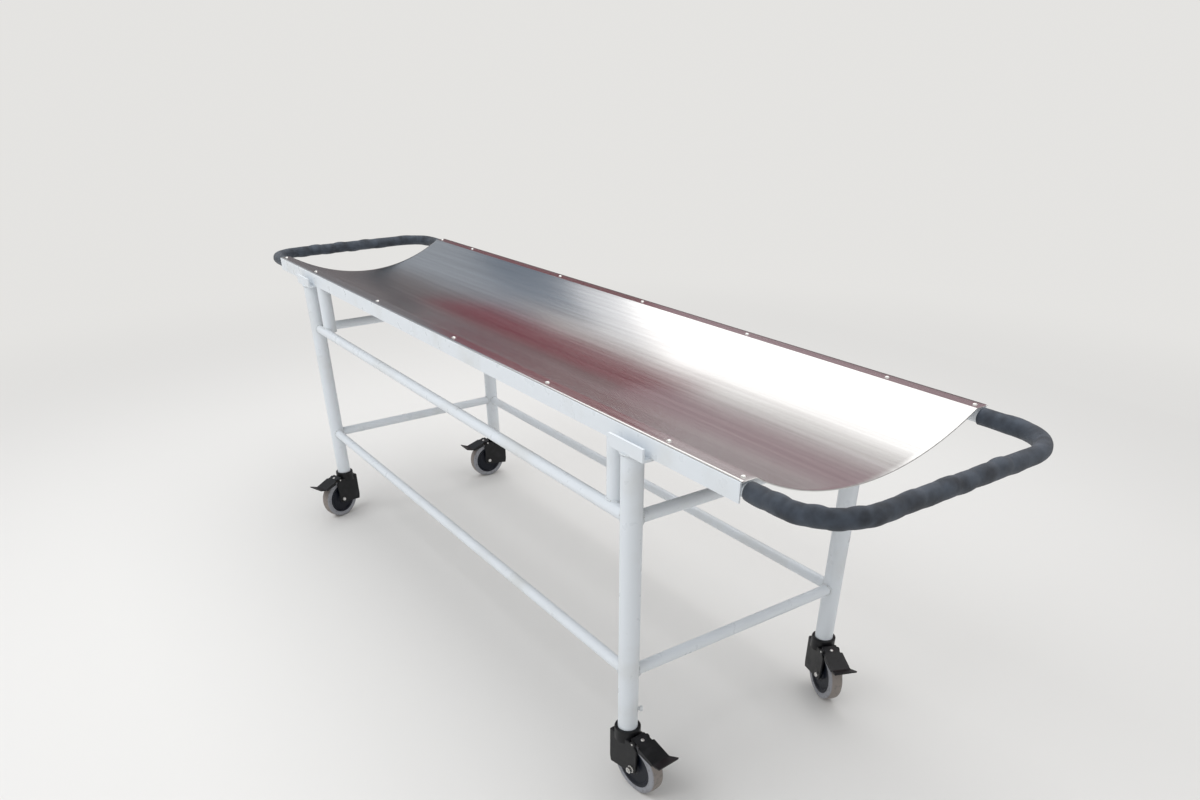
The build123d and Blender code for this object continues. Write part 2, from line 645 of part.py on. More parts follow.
for name, corner in CORNERS.items():
    top = caster_top(corner)
    side = caster_side(corner)
    front_z = pedal_top_at(PEDAL_NECK_X) - PEDAL_THICKNESS
    rear_z = pedal_top_at(PEDAL_SKIRT_END_X) - PEDAL_THICKNESS
    with BuildPart() as pedal:
        with BuildSketch(side):
            add(pedal_profile())
        extrude(amount=PEDAL_TIP_WIDTH / 2, both=True)
        with BuildSketch(side):
            with BuildLine():
                Polyline(
                    (PEDAL_NECK_X, front_z + PEDAL_THICKNESS / 2),
                    (PEDAL_SKIRT_END_X, rear_z + PEDAL_THICKNESS / 2),
                    (PEDAL_SKIRT_END_X, rear_z - PEDAL_SKIRT / 2),
                    (PEDAL_NECK_X, front_z - PEDAL_SKIRT),
                    close=True,
                )
            make_face()
        extrude(amount=PEDAL_WIDTH / 2, both=True)
        with BuildSketch(side):
            with BuildLine():
                Polyline(
                    (PEDAL_NECK_X, front_z),
                    (PEDAL_SKIRT_END_X, rear_z),
                    (PEDAL_SKIRT_END_X, 0),
                    (PEDAL_NECK_X, 0),
                    close=True,
                )
            make_face()
        extrude(amount=PEDAL_WIDTH / 2 - PEDAL_SKIRT_WALL, both=True, mode=Mode.SUBTRACT)
        with BuildSketch(top):
            add(pedal_plan())
        extrude(amount=COLLAR_TOP_Z, mode=Mode.INTERSECT)
        with BuildSketch(side):
            with Locations((PEDAL_PIN_X, PEDAL_PIN_Z)):
                Circle(PEDAL_BARREL_D / 2)
        extrude(amount=CHEEK_IN - PEDAL_NECK_CLEARANCE, both=True)
        with BuildSketch(side):
            with Locations((BRAKE_SHOE_X, BRAKE_SHOE_Z)):
                Rectangle(
                    BRAKE_SHOE_LENGTH,
                    pedal_top_at(BRAKE_SHOE_X) - PEDAL_THICKNESS / 2 - BRAKE_SHOE_Z,
                    align=(Align.CENTER, Align.MIN),
                )
        extrude(amount=BRAKE_SHOE_WIDTH / 2, both=True)
        with BuildSketch(side):
            with Locations((PEDAL_PIN_X, PEDAL_PIN_Z)):
                Circle(PEDAL_PIN_D / 2 + RUNNING_CLEARANCE)
        extrude(amount=CHEEK_OUT, both=True, mode=Mode.SUBTRACT)
    keep(pedal, f"brake_pedal_{name}")

    with BuildPart() as pin:
        with BuildSketch(side):
            with Locations((PEDAL_PIN_X, PEDAL_PIN_Z)):
                Circle(PEDAL_PIN_D / 2)
        extrude(amount=CHEEK_OUT + PEDAL_PIN_HEAD, both=True)
    keep(pin, f"pedal_pin_{name}")
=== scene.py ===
import json
import logging
import math
from dataclasses import dataclass
from enum import Enum

import bpy
from mathutils import Matrix, Vector, noise


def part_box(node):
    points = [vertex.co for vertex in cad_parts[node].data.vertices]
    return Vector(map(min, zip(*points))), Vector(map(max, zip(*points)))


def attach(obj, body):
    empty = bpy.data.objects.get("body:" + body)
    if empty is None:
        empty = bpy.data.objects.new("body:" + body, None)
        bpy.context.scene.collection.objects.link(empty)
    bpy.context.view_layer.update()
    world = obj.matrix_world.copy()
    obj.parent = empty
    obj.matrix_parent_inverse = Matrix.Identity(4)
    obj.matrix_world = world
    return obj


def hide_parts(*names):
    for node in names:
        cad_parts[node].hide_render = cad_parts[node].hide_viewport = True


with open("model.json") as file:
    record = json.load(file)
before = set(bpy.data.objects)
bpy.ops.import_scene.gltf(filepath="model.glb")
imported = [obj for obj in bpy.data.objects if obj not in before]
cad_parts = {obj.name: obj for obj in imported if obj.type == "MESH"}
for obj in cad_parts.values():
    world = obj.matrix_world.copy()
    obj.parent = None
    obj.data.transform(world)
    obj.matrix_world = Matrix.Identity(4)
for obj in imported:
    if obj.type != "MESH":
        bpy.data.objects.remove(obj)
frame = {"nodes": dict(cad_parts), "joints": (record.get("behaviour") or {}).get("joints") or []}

LOG = logging.getLogger("trolley")

# Lengths are in metres and the angles in fields are in degrees, in the frame that the model is
# loaded in: origin on the floor below the middle of the stand, +X to the front handle, +Z up.
IMAGE_PX = (1200, 800)
MM = 0.001
UP = Vector((0, 0, 1))
GRAIN_MAP = "grain"
TREAD = "tread"

Colour = tuple[float, float, float]
Pair = tuple[float, float]
Socket = bpy.types.NodeSocket


class Slot(Enum):
    """The record's material slots that the pieces take their finishes from."""

    PAINT = "white_paint"
    SHEET = "stainless_sheet"
    ZINC = "zinc_steel"
    FOAM = "foam"
    MOULDED = "moulded_black"
    CORE = "wheel_core"
    TYRE = "grey_tyre"


class End(Enum):
    """The two ends of the trolley, as signs along X."""

    FRONT = 1
    REAR = -1


class Corner(Enum):
    """The four corners that stand on casters."""

    NEAR_RIGHT = "near_right"
    NEAR_LEFT = "near_left"
    FAR_RIGHT = "far_right"
    FAR_LEFT = "far_left"


@dataclass(frozen=True)
class Cloud:
    """A noise pattern and the part of its range that is used.

    Attributes:
        per_m: Waves per metre.
        detail: Octaves of finer noise.
        low: Value of the noise below which nothing changes.
        high: Value of the noise above which nothing changes.
    """

    per_m: float
    detail: float = 2.0
    low: float = 0.3
    high: float = 0.7


@dataclass(frozen=True)
class Relief:
    """A fine roughness of the surface.

    Attributes:
        per_m: Waves per metre.
        detail: Octaves of finer noise.
        height: Height of the noise's full range.
        strength: How much of it shows.
    """

    per_m: float
    detail: float
    height: float
    strength: float = 1.0


class Wiring:
    """The nodes of one tree, with short calls that add and link them."""

    def __init__(self, tree: bpy.types.NodeTree) -> None:
        """Takes over a tree."""
        self.tree = tree

    def link(self, source: Socket, target: Socket) -> None:
        """Links one socket to another."""
        self.tree.links.new(source, target)

    def node(self, kind: str, inputs: dict | None = None, **values: object) -> bpy.types.Node:
        """Adds a node.

        Args:
            kind: The node's type.
            inputs: Constants, sockets or lists of sockets for its inputs, by name or number.
            **values: Properties of the node.

        Returns:
            The new node.
        """
        made = self.tree.nodes.new(kind)
        for key, value in values.items():
            setattr(made, key, value)
        for key, value in (inputs or {}).items():
            for source in value if isinstance(value, list) else [value]:
                if isinstance(source, Socket):
                    self.link(source, made.inputs[key])
                else:
                    made.inputs[key].default_value = source
        return made


class ShaderGraph(Wiring):
    """A material with a principled shader, and the patterns that feed it."""

    def __init__(self, name: str) -> None:
        """Starts the material.

        Args:
            name: The material's name.
        """
        self.material = bpy.data.materials.new(name)
        self.material.use_nodes = True
        super().__init__(self.material.node_tree)
        self.tree.nodes.clear()
        self.output = self.node("ShaderNodeOutputMaterial")
        self.shader = self.node("ShaderNodeBsdfPrincipled")
        self.link(self.shader.outputs["BSDF"], self.output.inputs["Surface"])
        self.place = self.node("ShaderNodeTexCoord").outputs["Object"]

    def set(self, **constants: object) -> None:
        """Sets the shader's own sockets, with underscores for the spaces in their names."""
        for name, value in constants.items():
            self.shader.inputs[name.replace("_", " ")].default_value = value

    def feed(self, name: str, source: Socket) -> None:
        """Links a socket to the shader's input of that name."""
        self.link(source, self.shader.inputs[name])

    def grain(
        self,
        scale: float,
        detail: float,
        stretch: tuple[float, float, float] = (1.0, 1.0, 1.0),
        place: Socket | None = None,
    ) -> Socket:
        """Adds noise.

        Args:
            scale: Waves per metre.
            detail: Octaves of finer noise.
            stretch: Factors along the three axes of the coordinates.
            place: The coordinates that it reads, or None for the object's own.

        Returns:
            The noise's value, from 0 to 1.
        """
        turned = self.node("ShaderNodeMapping", {"Vector": place or self.place, "Scale": stretch})
        made = self.node(
            "ShaderNodeTexNoise",
            {"Vector": turned.outputs["Vector"], "Scale": scale, "Detail": detail},
        )
        return made.outputs["Fac"]

    def remap(self, value: Socket, low: float, high: float, start: float, end: float) -> Socket:
        """Maps a value from one range to another.

        Args:
            value: The value.
            low: Lower end of its range.
            high: Upper end of its range.
            start: What the lower end becomes.
            end: What the upper end becomes.

        Returns:
            The mapped value, kept within the new range.
        """
        made = self.node("ShaderNodeMapRange", {
            "Value": value, "From Min": low, "From Max": high, "To Min": start, "To Max": end,
        })
        return made.outputs["Result"]

    def cloud(self, cloud: Cloud, start: float = 0.0, end: float = 1.0) -> Socket:
        """Adds a cloud.

        Args:
            cloud: The cloud.
            start: Its value where the noise is low.
            end: Its value where the noise is high.

        Returns:
            The cloud's value.
        """
        source = self.grain(cloud.per_m, cloud.detail)
        return self.remap(source, cloud.low, cloud.high, start, end)

    def blend(self, amount: Socket, first: Colour | Socket, second: Colour | Socket) -> Socket:
        """Mixes two colours.

        Args:
            amount: How much of the second colour shows.
            first: The first colour.
            second: The second colour.

        Returns:
            The mixed colour.
        """
        first_input, second_input, colour_output = 6, 7, 2
        inputs = {0: amount}
        for index, colour in ((first_input, first), (second_input, second)):
            inputs[index] = colour if isinstance(colour, Socket) else (*colour, 1.0)
        return self.node("ShaderNodeMix", inputs, data_type="RGBA").outputs[colour_output]

    def weather(
        self, amount: Socket, most: float, clean: Colour | Socket, worn: Colour, roughness: Pair
    ) -> None:
        """Lets one cloud change the colour and the roughness together.

        Args:
            amount: The cloud's value.
            most: The most that the cloud reaches.
            clean: Colour without the cloud.
            worn: Colour that the cloud brings.
            roughness: Roughness without the cloud, and where it reaches its most.
        """
        self.feed("Base Color", self.blend(amount, clean, worn))
        self.feed("Roughness", self.remap(amount, 0.0, most, *roughness))

    def bump(self, height: Socket, distance: float, strength: float = 1.0) -> None:
        """Feeds a height pattern to the shader's normal.

        Args:
            height: The pattern, from 0 to 1.
            distance: Height of its full range.
            strength: How much of it shows.
        """
        made = self.node("ShaderNodeBump", {
            "Height": height, "Distance": distance, "Strength": strength,
        })
        self.feed("Normal", made.outputs["Normal"])

    def relief(self, relief: Relief) -> None:
        """Roughens the surface finely."""
        self.bump(self.grain(relief.per_m, relief.detail), relief.height, relief.strength)


@dataclass(frozen=True)
class WhitePaint:
    """Gloss paint on the tubes, with a faint orange peel and a little grime."""

    slot: Slot = Slot.PAINT
    colour: Colour = (0.70, 0.735, 0.77)
    grime: Colour = (0.60, 0.61, 0.60)
    grime_cloud: Cloud = Cloud(9.0, 4.0, 0.52, 0.78)
    most_grime: float = 0.7
    gloss_cloud: Cloud = Cloud(35.0, 3.0)
    roughness: Pair = (0.26, 0.38)
    peel: Relief = Relief(420.0, 2.0, 0.12 * MM)

    def build(self) -> bpy.types.Material:
        """Builds the material.

        Returns:
            The material.
        """
        graph = ShaderGraph(self.slot.value)
        grime = graph.cloud(self.grime_cloud, 0.0, self.most_grime)
        graph.feed("Base Color", graph.blend(grime, self.colour, self.grime))
        graph.feed("Roughness", graph.cloud(self.gloss_cloud, *self.roughness))
        graph.relief(self.peel)
        return graph.material


@dataclass(frozen=True)
class WeldPaint:
    """The same paint where it runs over a weld, with grime in the hollows."""

    name: str = "weld_paint"
    colour: Colour = (0.66, 0.69, 0.71)
    grime: Colour = (0.34, 0.33, 0.31)
    grime_spots: Cloud = Cloud(260.0, 3.0, 0.56, 0.72)
    gloss_cloud: Cloud = Cloud(180.0)
    roughness: Pair = (0.32, 0.5)
    spatter: Relief = Relief(900.0, 3.0, 0.3 * MM)

    def build(self) -> bpy.types.Material:
        """Builds the material.

        Returns:
            The material.
        """
        graph = ShaderGraph(self.name)
        spots = graph.cloud(self.grime_spots)
        graph.feed("Base Color", graph.blend(spots, self.colour, self.grime))
        graph.feed("Roughness", graph.cloud(self.gloss_cloud, *self.roughness))
        graph.relief(self.spatter)
        return graph.material


@dataclass(frozen=True)
class StainlessSheet:
    """Brushed stainless sheet. Its grain runs along the tray, so reflections blur across it.

    The grain is made of fine lines, and of bands that are so many times wider and longer.
    """

    slot: Slot = Slot.SHEET
    colour: Colour = (0.60, 0.595, 0.59)
    dull: Colour = (0.52, 0.51, 0.505)
    across_per_m: float = 900.0
    along_per_m: float = 3.0
    line_detail: float = 3.0
    line_range: Pair = (0.3, 0.7)
    line_height: float = 0.01 * MM
    band_width: float = 12.0
    band_length: float = 3.0
    band_detail: float = 2.0
    band_range: Pair = (0.35, 0.65)
    roughness: Pair = (0.16, 0.25)
    anisotropy: float = 0.75

    def build(self) -> bpy.types.Material:
        """Builds the material.

        Returns:
            The material.
        """
        graph = ShaderGraph(self.slot.value)
        flat = graph.node("ShaderNodeUVMap", uv_map=GRAIN_MAP).outputs["UV"]
        line_stretch = (self.across_per_m, self.along_per_m, 1.0)
        band_stretch = (
            self.across_per_m / self.band_width, self.along_per_m / self.band_length, 1.0,
        )
        lines = graph.grain(1.0, self.line_detail, line_stretch, flat)
        bands = graph.grain(1.0, self.band_detail, band_stretch, flat)
        tint = graph.remap(bands, *self.band_range, 0.0, 1.0)
        graph.feed("Base Color", graph.blend(tint, self.colour, self.dull))
        graph.feed("Roughness", graph.remap(lines, *self.line_range, *self.roughness))
        graph.set(Metallic=1.0, Anisotropic=self.anisotropy)
        tangent = graph.node("ShaderNodeTangent", direction_type="UV_MAP", uv_map=GRAIN_MAP)
        graph.feed("Tangent", tangent.outputs["Tangent"])
        graph.bump(lines, self.line_height)
        return graph.material


@dataclass(frozen=True)
class ZincSteel:
    """Bright plated steel of the rivets, axles, pins and stems."""

    slot: Slot = Slot.ZINC
    colour: Colour = (0.80, 0.80, 0.79)
    dull: Colour = (0.58, 0.57, 0.55)
    dull_cloud: Cloud = Cloud(300.0, 3.0, 0.4, 0.7)
    roughness: Pair = (0.22, 0.4)
    crystals: Relief = Relief(1400.0, 2.0, 0.03 * MM)

    def build(self) -> bpy.types.Material:
        """Builds the material.

        Returns:
            The material.
        """
        graph = ShaderGraph(self.slot.value)
        graph.weather(graph.cloud(self.dull_cloud), 1.0, self.colour, self.dull, self.roughness)
        graph.set(Metallic=1.0)
        graph.relief(self.crystals)
        return graph.material


@dataclass(frozen=True)
class GripFoam:
    """Slate foam sleeve, matte, with fine pores and a rubbed bloom in random patches."""

    slot: Slot = Slot.FOAM
    colour: Colour = (0.021, 0.025, 0.033)
    bloom: Colour = (0.052, 0.065, 0.086)
    bloom_cloud: Cloud = Cloud(28.0, 4.0, 0.35, 0.65)
    roughness: Pair = (0.78, 0.66)
    fuzz: float = 0.12
    fuzz_roughness: float = 0.5
    specular: float = 0.35
    pores: Relief = Relief(1500.0, 3.0, 0.4 * MM, 0.8)

    def build(self) -> bpy.types.Material:
        """Builds the material.

        Returns:
            The material.
        """
        graph = ShaderGraph(self.slot.value)
        graph.weather(graph.cloud(self.bloom_cloud), 1.0, self.colour, self.bloom, self.roughness)
        graph.set(
            Sheen_Weight=self.fuzz, Sheen_Roughness=self.fuzz_roughness,
            Specular_IOR_Level=self.specular,
        )
        graph.relief(self.pores)
        return graph.material


@dataclass(frozen=True)
class MouldedBlack:
    """Black moulded plastic with a fine spark-eroded grain."""

    slot: Slot = Slot.MOULDED
    colour: Colour = (0.0045, 0.0048, 0.0058)
    worn: Colour = (0.012, 0.0125, 0.0145)
    wear_cloud: Cloud = Cloud(60.0, 4.0, 0.45, 0.7)
    roughness: Pair = (0.36, 0.5)
    specular: float = 0.3
    mould_grain: Relief = Relief(2400.0, 2.0, 0.08 * MM)

    def build(self) -> bpy.types.Material:
        """Builds the material.

        Returns:
            The material.
        """
        graph = ShaderGraph(self.slot.value)
        graph.weather(graph.cloud(self.wear_cloud), 1.0, self.colour, self.worn, self.roughness)
        graph.set(Specular_IOR_Level=self.specular)
        graph.relief(self.mould_grain)
        return graph.material


@dataclass(frozen=True)
class WheelCore:
    """Dark blue-black plastic of the wheel cores."""

    slot: Slot = Slot.CORE
    colour: Colour = (0.0035, 0.0055, 0.012)
    dust: Colour = (0.010, 0.012, 0.018)
    dust_cloud: Cloud = Cloud(90.0, 4.0, 0.5, 0.75)
    roughness: Pair = (0.34, 0.5)
    specular: float = 0.25
    mould_grain: Relief = Relief(1800.0, 2.0, 0.06 * MM)

    def build(self) -> bpy.types.Material:
        """Builds the material.

        Returns:
            The material.
        """
        graph = ShaderGraph(self.slot.value)
        graph.weather(graph.cloud(self.dust_cloud), 1.0, self.colour, self.dust, self.roughness)
        graph.set(Specular_IOR_Level=self.specular)
        graph.relief(self.mould_grain)
        return graph.material


@dataclass(frozen=True)
class TyreRubber:
    """Grey rubber, with a browner tread where it has rolled. It reads the mesh's tread attribute."""

    slot: Slot = Slot.TYRE
    side: Colour = (0.27, 0.275, 0.30)
    tread: Colour = (0.235, 0.205, 0.185)
    dirt: Colour = (0.15, 0.14, 0.135)
    dirt_spots: Cloud = Cloud(120.0, 4.0, 0.52, 0.75)
    most_dirt: float = 0.75
    roughness: Pair = (0.5, 0.75)
    skin: Relief = Relief(900.0, 3.0, 0.15 * MM)

    def build(self) -> bpy.types.Material:
        """Builds the material.

        Returns:
            The material.
        """
        graph = ShaderGraph(self.slot.value)
        rolled = graph.node("ShaderNodeAttribute", attribute_name=TREAD)
        base = graph.blend(rolled.outputs["Fac"], self.side, self.tread)
        spots = graph.cloud(self.dirt_spots, 0.0, self.most_dirt)
        graph.weather(spots, self.most_dirt, base, self.dirt, self.roughness)
        graph.relief(self.skin)
        return graph.material


class Finishes:
    """Every finish of the trolley, built once."""

    def __init__(self) -> None:
        """Builds the materials."""
        self.paint = WhitePaint().build()
        self.weld = WeldPaint().build()
        self.sheet = StainlessSheet().build()
        self.zinc = ZincSteel().build()
        self.foam = GripFoam().build()
        self.moulded = MouldedBlack().build()
        self.core = WheelCore().build()
        self.tyre = TyreRubber().build()


class PatternTree(Wiring):
    """A Geometry Nodes tree with named inputs, which ends in real geometry with a finish."""

    def __init__(self, name: str) -> None:
        """Starts the tree.

        Args:
            name: The tree's name.
        """
        super().__init__(bpy.data.node_groups.new(name, "GeometryNodeTree"))
        self.interface = self.tree.interface
        for way in ("INPUT", "OUTPUT"):
            self.interface.new_socket("Geometry", in_out=way, socket_type="NodeSocketGeometry")
        self.source = self.node("NodeGroupInput")
        self.sink = self.node("NodeGroupOutput")
        self.identifiers = {}

    def input(self, name: str, kind: str = "NodeSocketFloat") -> Socket:
        """Adds a named input.

        Args:
            name: The input's name.
            kind: The socket's type.

        Returns:
            The socket that gives its value inside the tree.
        """
        made = self.interface.new_socket(name, in_out="INPUT", socket_type=kind)
        self.identifiers[name] = made.identifier
        return self.source.outputs[name]

    def maths(self, operation: str, *values: object) -> Socket:
        """Adds a sum of constants or sockets, and gives its result."""
        inputs = dict(enumerate(values))
        return self.node("ShaderNodeMath", inputs, operation=operation).outputs[0]

    def close(self, geometry: Socket) -> None:
        """Ends the tree: real geometry, shaded smooth, in the finish that it is given.

        Args:
            geometry: The geometry to put out.
        """
        finish = self.input("Finish", "NodeSocketMaterial")
        real = self.node("GeometryNodeRealizeInstances", {"Geometry": geometry})
        smooth = self.node("GeometryNodeSetShadeSmooth", {"Geometry": real.outputs[0]})
        dressed = self.node(
            "GeometryNodeSetMaterial", {"Geometry": smooth.outputs[0], "Material": finish}
        )
        self.link(dressed.outputs[0], self.sink.inputs[0])

    def grow(self, carrier: bpy.types.Object, values: dict) -> bpy.types.Object:
        """Runs the tree on an object, and leaves the result as the object's plain mesh.

        Args:
            carrier: The object whose points or edges the tree starts from.
            values: What each named input is.

        Returns:
            The same object.
        """
        modifier = carrier.modifiers.new(self.tree.name, "NODES")
        modifier.node_group = self.tree
        for name, value in values.items():
            modifier[self.identifiers[name]] = value
        seen = carrier.evaluated_get(bpy.context.evaluated_depsgraph_get())
        grown = bpy.data.meshes.new_from_object(seen)
        grown.name = carrier.name
        carrier.modifiers.clear()
        carrier.data = grown
        return carrier


class RivetTree(PatternTree):
    """Domed rivets on points: head, shank and the tail below the flange."""

    shank_sides: int = 16
    dome_segments: int = 20
    dome_rings: int = 14
    dome_floor: float = -0.05
    tail_spread: float = 1.5

    def __init__(self) -> None:
        """Builds the tree."""
        super().__init__("rivet_row")
        head_d = self.input("Head diameter")
        head_h = self.input("Head height")
        shank_d = self.input("Shank diameter")
        length = self.input("Grip length")
        tail_h = self.input("Tail height")
        seed = self.input("Seed", "NodeSocketInt")
        head = self.dome(head_d, head_h, 1.0)
        shank = self.node("GeometryNodeMeshCylinder", {
            "Vertices": self.shank_sides, "Radius": self.maths("MULTIPLY", shank_d, 0.5),
            "Depth": length,
        })
        tail = self.dome(self.maths("MULTIPLY", shank_d, self.tail_spread), tail_h, -1.0)
        parts = [
            head, self.lowered(shank.outputs["Mesh"], length, 0.5),
            self.lowered(tail, length, 1.0),
        ]
        whole = self.node("GeometryNodeJoinGeometry", {0: parts})
        low_input, high_input, number_output = 2, 3, 1
        turn = self.node("FunctionNodeRandomValue", {
            low_input: 0.0, high_input: math.tau, "Seed": seed,
        }, data_type="FLOAT")
        spin = self.node("ShaderNodeCombineXYZ", {"Z": turn.outputs[number_output]})
        placed = self.node("GeometryNodeInstanceOnPoints", {
            "Points": self.source.outputs["Geometry"], "Instance": whole.outputs[0],
            "Rotation": spin.outputs[0],
        })
        self.close(placed.outputs[0])

    def lowered(self, geometry: Socket, length: Socket, share: float) -> Socket:
        """Moves geometry down.

        Args:
            geometry: The geometry.
            length: The rivet's grip length.
            share: How much of that length it moves by.

        Returns:
            The moved geometry.
        """
        shift = self.node("ShaderNodeCombineXYZ", {"Z": self.maths("MULTIPLY", length, -share)})
        moved = self.node("GeometryNodeTransform", {
            "Geometry": geometry, "Translation": shift.outputs[0],
        })
        return moved.outputs[0]

    def dome(self, diameter: Socket, height: Socket, sign: float) -> Socket:
        """Adds a flattened dome.

        Args:
            diameter: Its width.
            height: Its height.
            sign: 1 for a dome that stands up, -1 for one that hangs.

        Returns:
            Its mesh.
        """
        ball = self.node("GeometryNodeMeshUVSphere", {
            "Segments": self.dome_segments, "Rings": self.dome_rings, "Radius": 1.0,
        })
        position = self.node("GeometryNodeInputPosition").outputs[0]
        place = self.node("ShaderNodeSeparateXYZ", {0: position})
        beyond = self.node("FunctionNodeCompare", {
            0: self.maths("MULTIPLY", place.outputs["Z"], sign), 1: self.dome_floor,
        }, operation="LESS_THAN")
        half = self.node("GeometryNodeDeleteGeometry", {
            "Geometry": ball.outputs["Mesh"], "Selection": beyond.outputs[0],
        })
        radius = self.maths("MULTIPLY", diameter, 0.5)
        size = self.node("ShaderNodeCombineXYZ", {"X": radius, "Y": radius, "Z": height})
        scaled = self.node("GeometryNodeTransform", {
            "Geometry": half.outputs[0], "Scale": size.outputs[0],
        })
        return scaled.outputs[0]


class BeadTree(PatternTree):
    """Weld beads along edges: a round run with ripples and a wandering width."""

    step_share: float = 0.25
    drift_per_m: float = 90.0
    drift_middle: float = 0.5
    ring_points: int = 8

    def __init__(self) -> None:
        """Builds the tree."""
        super().__init__("weld_bead")
        radius = self.input("Bead radius")
        pitch = self.input("Ripple pitch")
        depth = self.input("Ripple depth")
        wander = self.input("Wander")
        seed = self.input("Seed")
        path = self.node("GeometryNodeMeshToCurve", {"Mesh": self.source.outputs["Geometry"]})
        fine = self.node("GeometryNodeResampleCurve", {
            "Curve": path.outputs[0], "Length": self.maths("MULTIPLY", pitch, self.step_share),
        }, mode="LENGTH")
        along = self.node("GeometryNodeSplineParameter").outputs["Length"]
        phase = self.maths("MULTIPLY", self.maths("DIVIDE", along, pitch), math.tau)
        ripple = self.maths("MULTIPLY", self.maths("SINE", phase), depth)
        cloud = self.node("ShaderNodeTexNoise", {
            "W": seed, "Scale": self.drift_per_m,
        }, noise_dimensions="4D")
        off_middle = self.maths("SUBTRACT", cloud.outputs[0], self.drift_middle)
        drift = self.maths("MULTIPLY", off_middle, wander)
        width = self.maths("ADD", self.maths("ADD", ripple, drift), 1.0)
        swelled = self.node("GeometryNodeSetCurveRadius", {
            "Curve": fine.outputs[0], "Radius": width,
        })
        ring = self.node("GeometryNodeCurvePrimitiveCircle", {
            "Resolution": self.ring_points, "Radius": radius,
        })
        bead = self.node("GeometryNodeCurveToMesh", {
            "Curve": swelled.outputs[0], "Profile Curve": ring.outputs[0], "Fill Caps": True,
        })
        # Where this node has an input for the scale, the width goes in there too.
        if "Scale" in bead.inputs:
            self.link(width, bead.inputs["Scale"])
        self.close(bead.outputs[0])


def new_piece(name: str, mesh: bpy.types.Mesh) -> bpy.types.Object:
    """Makes an object for a mesh and puts it in the scene.

    Args:
        name: The object's name.
        mesh: Its mesh.

    Returns:
        The object.
    """
    piece = bpy.data.objects.new(name, mesh)
    bpy.context.scene.collection.objects.link(piece)
    return piece


def mesh_piece(
    name: str, points: list, faces: list, finish: bpy.types.Material, smooth: bool = True
) -> bpy.types.Object:
    """Makes an object from points and faces.

    Args:
        name: The object's name.
        points: The places of its points.
        faces: Its faces, as rows of point numbers.
        finish: Its material.
        smooth: Whether the faces are shaded smooth.

    Returns:
        The object.
    """
    mesh = bpy.data.meshes.new(name)
    mesh.from_pydata([tuple(point) for point in points], [], faces)
    mesh.materials.append(finish)
    mesh.polygons.foreach_set("use_smooth", [smooth] * len(mesh.polygons))
    mesh.validate()
    mesh.update()
    return new_piece(name, mesh)


def seat(piece: bpy.types.Object, body: str, slot: Slot, *nodes: str) -> None:
    """Puts a finished piece on its body, and hides the nodes that it stands for.

    Args:
        piece: The piece.
        body: The body that it rides on.
        slot: The record's slot for its finish. Not used.
        *nodes: The nodes that it replaces.
    """
    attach(piece, body)
    if nodes:
        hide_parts(*nodes)
    LOG.info("%s rides on %s, %d faces", piece.name, body, len(piece.data.polygons))


def dress(finish: bpy.types.Material, *nodes: str) -> None:
    """Gives nodes a finish.

    Args:
        finish: The material.
        *nodes: The nodes' names.
    """
    for name in nodes:
        node = frame["nodes"][name]
        if not node.material_slots:
            node.data.materials.append(finish)
        for slot in node.material_slots:
            slot.material = finish
        LOG.info("%s dressed in %s", name, finish.name)


def middle(node: str) -> Vector:
    """Middle of a node's box."""
    low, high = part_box(node)
    return (low + high) / 2


def nodes_named(*starts: str) -> list[str]:
    """Names of the nodes that start with any of these words, in order."""
    return sorted(name for name in frame["nodes"] if name.startswith(starts))


def smoothstep(value: float) -> float:
    """Eases a value from 0 to 1, with level ends."""
    value = min(1.0, max(0.0, value))
    return value * value * (3.0 - 2.0 * value)


def angles_round(count: int) -> list[float]:
    """Angles of evenly spaced points once round a circle."""
    return [math.tau * step / count for step in range(count)]


def faces_between(rings: int, size: int, closed: bool) -> list[tuple[int, ...]]:
    """Lists the four-sided faces between neighbouring rings of points.

    Args:
        rings: How many rings there are.
        size: Points in each ring.
        closed: Whether the last ring meets the first.

    Returns:
        The faces, ring by ring.
    """
    faces = []
    for row in range(rings if closed else rings - 1):
        here, there = row * size, (row + 1) % rings * size
        for k in range(size):
            after = (k + 1) % size
            faces.append((here + k, here + after, there + after, there + k))
    return faces


@dataclass(frozen=True)
class Lamp:
    """A soft rectangular lamp.

    Attributes:
        name: Its name.
        place: Where its middle is.
        aim: The point that it faces.
        size: Its width and height.
        radiance: How bright its face looks.
        colour: Its colour.
        mirrored: Whether glossy surfaces reflect it.
    """

    name: str
    place: tuple[float, float, float]
    aim: tuple[float, float, float]
    size: Pair
    radiance: float
    colour: Colour = (1.0, 1.0, 1.0)
    mirrored: bool = True

    def build(self) -> None:
        """Hangs the lamp."""
        data = bpy.data.lights.new(self.name, "AREA")
        data.shape = "RECTANGLE"
        data.size, data.size_y = self.size
        data.energy = self.radiance * math.pi * self.size[0] * self.size[1]
        data.color = self.colour
        lamp = bpy.data.objects.new(self.name, data)
        lamp.location = self.place
        ahead = Vector(self.aim) - Vector(self.place)
        lamp.rotation_euler = ahead.to_track_quat("-Z", "Y").to_euler()
        lamp.visible_glossy = self.mirrored
        bpy.context.scene.collection.objects.link(lamp)


